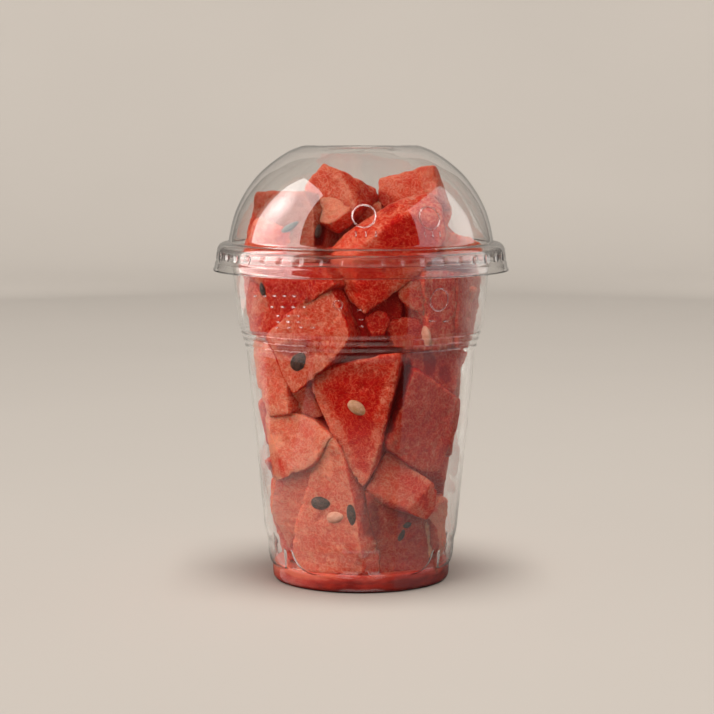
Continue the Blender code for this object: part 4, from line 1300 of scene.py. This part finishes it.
def lamp(name, azimuth, elevation, distance, size, power, colour, lit, at_wall=False):
    """A soft square lamp for some pieces alone, aimed at the cup or away from it at the wall."""
    middle = Vector((0, 0, LAMP_CENTRE))
    away = direction(azimuth, elevation)
    place = middle + away * distance
    return area_light(name, place, place + away if at_wall else middle, size, size, power, colour, lit)


def round_floor(material):
    """A round pale floor that curves up into a wall, in metres."""
    radius, bend, height = 2.4, 0.9, 3.2
    outline = [(0.02, 0.0), (0.5, 0.0), (1.0, 0.0)]
    outline += [(radius - bend + bend * math.sin(a), bend - bend * math.cos(a))
                for a in np.linspace(0, math.pi / 2, 24)]
    rings, faces = lathe(outline + [(radius, height)], FLOOR_STEPS)
    faces.append(tuple(range(FLOOR_STEPS)))
    return new_mesh("floor", np.concatenate(rings) / MM, faces, material)


def card(name, start, stop, material):
    """An upright curved card round the cup, out of sight but for reflections."""
    angles = np.radians(np.linspace(start, stop, CARD_STEPS + 1))
    edges = [np.stack([np.sin(angles), -np.cos(angles), np.full(len(angles), z)], axis=1)
             for z in CARD_HEIGHTS]
    faces = [(j, j + 1, j + CARD_STEPS + 2, j + CARD_STEPS + 1) for j in range(CARD_STEPS)]
    obj = new_mesh(name, np.concatenate(edges) / MM, faces, material)
    obj.visible_camera = False
    obj.visible_diffuse = False
    obj.visible_shadow = False
    return obj


def build_stage():
    """The room: a floor that runs up into a wall, cards that the plastic mirrors, and its lamps."""
    scene = bpy.context.scene
    scene.view_settings.view_transform = "Standard"
    scene.cycles.transmission_bounces = 24
    scene.cycles.transparent_max_bounces = 32
    scene.cycles.max_bounces = 32
    scene.cycles.diffuse_bounces = 3
    scene.cycles.glossy_bounces = 6
    world = bpy.data.worlds.new("room")
    scene.world = world
    world.use_nodes = True
    background = world.node_tree.nodes["Background"].inputs
    background["Color"].default_value = WORLD_COLOUR
    background["Strength"].default_value = WORLD_STRENGTH

    floor = round_floor(stage_material("floor", FLOOR_COLOUR, hidden_floor))
    floor.visible_diffuse = False
    # The dark cards give the plastic its darker edges, and the grey ones its outline.
    dark = stage_material("cards", DARK_CARD, hidden_card)
    grey = stage_material("grey_cards", GREY_CARD, hidden_card, GREY_GLOW)
    cards = [card("card_left", -150, -112, dark), card("card_right", 112, 150, dark),
             card("outline_left", -178, -150, grey), card("outline_right", 150, 178, grey)]
    room = collect("room", [floor])
    for number in range(WALL_LAMPS):
        azimuth = 360 * (number + 0.5) / WALL_LAMPS
        lamp("wall_lamp_%d" % number, azimuth, *WALL_LAMP, room, at_wall=True)
    lamp(*FLOOR_LAMP, room)


def build_lights(plastics, contents, marks):
    """Soft boxes at both sides that the plastic mirrors, and lamps for what lies behind it."""
    for *box, fade, hot in SOFT_BOXES:
        in_reflections(softbox(*box, plastics), fade, hot)
    in_reflections(lamp(*FOOT_GLOW, plastics))
    in_reflections(lamp(*MARKS_LAMP, marks))
    for row in FRUIT_LAMPS:
        lamp(*row, contents)


def build_camera():
    camera = bpy.data.cameras.new("camera")
    camera.lens = LENS
    camera.sensor_width = SENSOR
    camera.clip_start = 0.01
    camera_obj = new_object("camera", camera)
    camera_obj.matrix_world = (Matrix.Translation(eye() * MM)
                               @ Matrix.Rotation(math.radians(90 - VIEW_PITCH), 4, "X"))
    bpy.context.scene.camera = camera_obj


# --- Everything together ------------------------------------------------------------------------
build_stage()
build_camera()
cup_plastic = plastic_material("cup_plastic")
lid_plastic = plastic_material("lid_plastic")
flesh = flesh_material()
seed_kinds = {
    "dark": seed_material("seed_dark", (0.016, 0.006, 0.004), (0.110, 0.042, 0.026), 0.5),
    "grey": seed_material("seed_grey", (0.05, 0.055, 0.045), (0.12, 0.12, 0.10), 0.35),
    "tan": seed_material("seed_tan", (0.58, 0.27, 0.12), (0.74, 0.40, 0.26), 0.45),
    "pink": seed_material("seed_pink", (0.72, 0.27, 0.16), (0.85, 0.40, 0.27), 0.45),
}

cup = build_cup(cup_plastic)
lid = build_lid(lid_plastic)
cup_marks = build_marks("cup_marks", CUP_BARS, CUP_RINGS, cup_radius, cup_plastic)
lid_marks = build_marks("lid_marks", LID_BARS, LID_RINGS, dome_radius, lid_plastic)
fruit = build_fruit(flesh)
seeds = build_seeds(fruit[:-1], seed_kinds)
juice = build_juice(juice_material())

for piece, node, slot in ((cup, "cup", "cup_plastic"), (lid, "lid", "lid_plastic")):
    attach(piece, "root")
    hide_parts(node)
for piece, slot in ((cup_marks, "cup_plastic"), (lid_marks, "lid_plastic")):
    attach(piece, "root")
for piece in fruit:
    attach(piece, "root")
    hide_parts("watermelon")
for piece, slot in zip(seeds, ("seed_dark", "seed_dark", "seed_pale", "seed_pale")):
    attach(piece, "root")
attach(juice, "root")

build_lights(collect("plastics", [cup, lid, cup_marks, lid_marks]),
             collect("contents", [*fruit, *seeds, juice]), collect("marks", [cup_marks, lid_marks]))
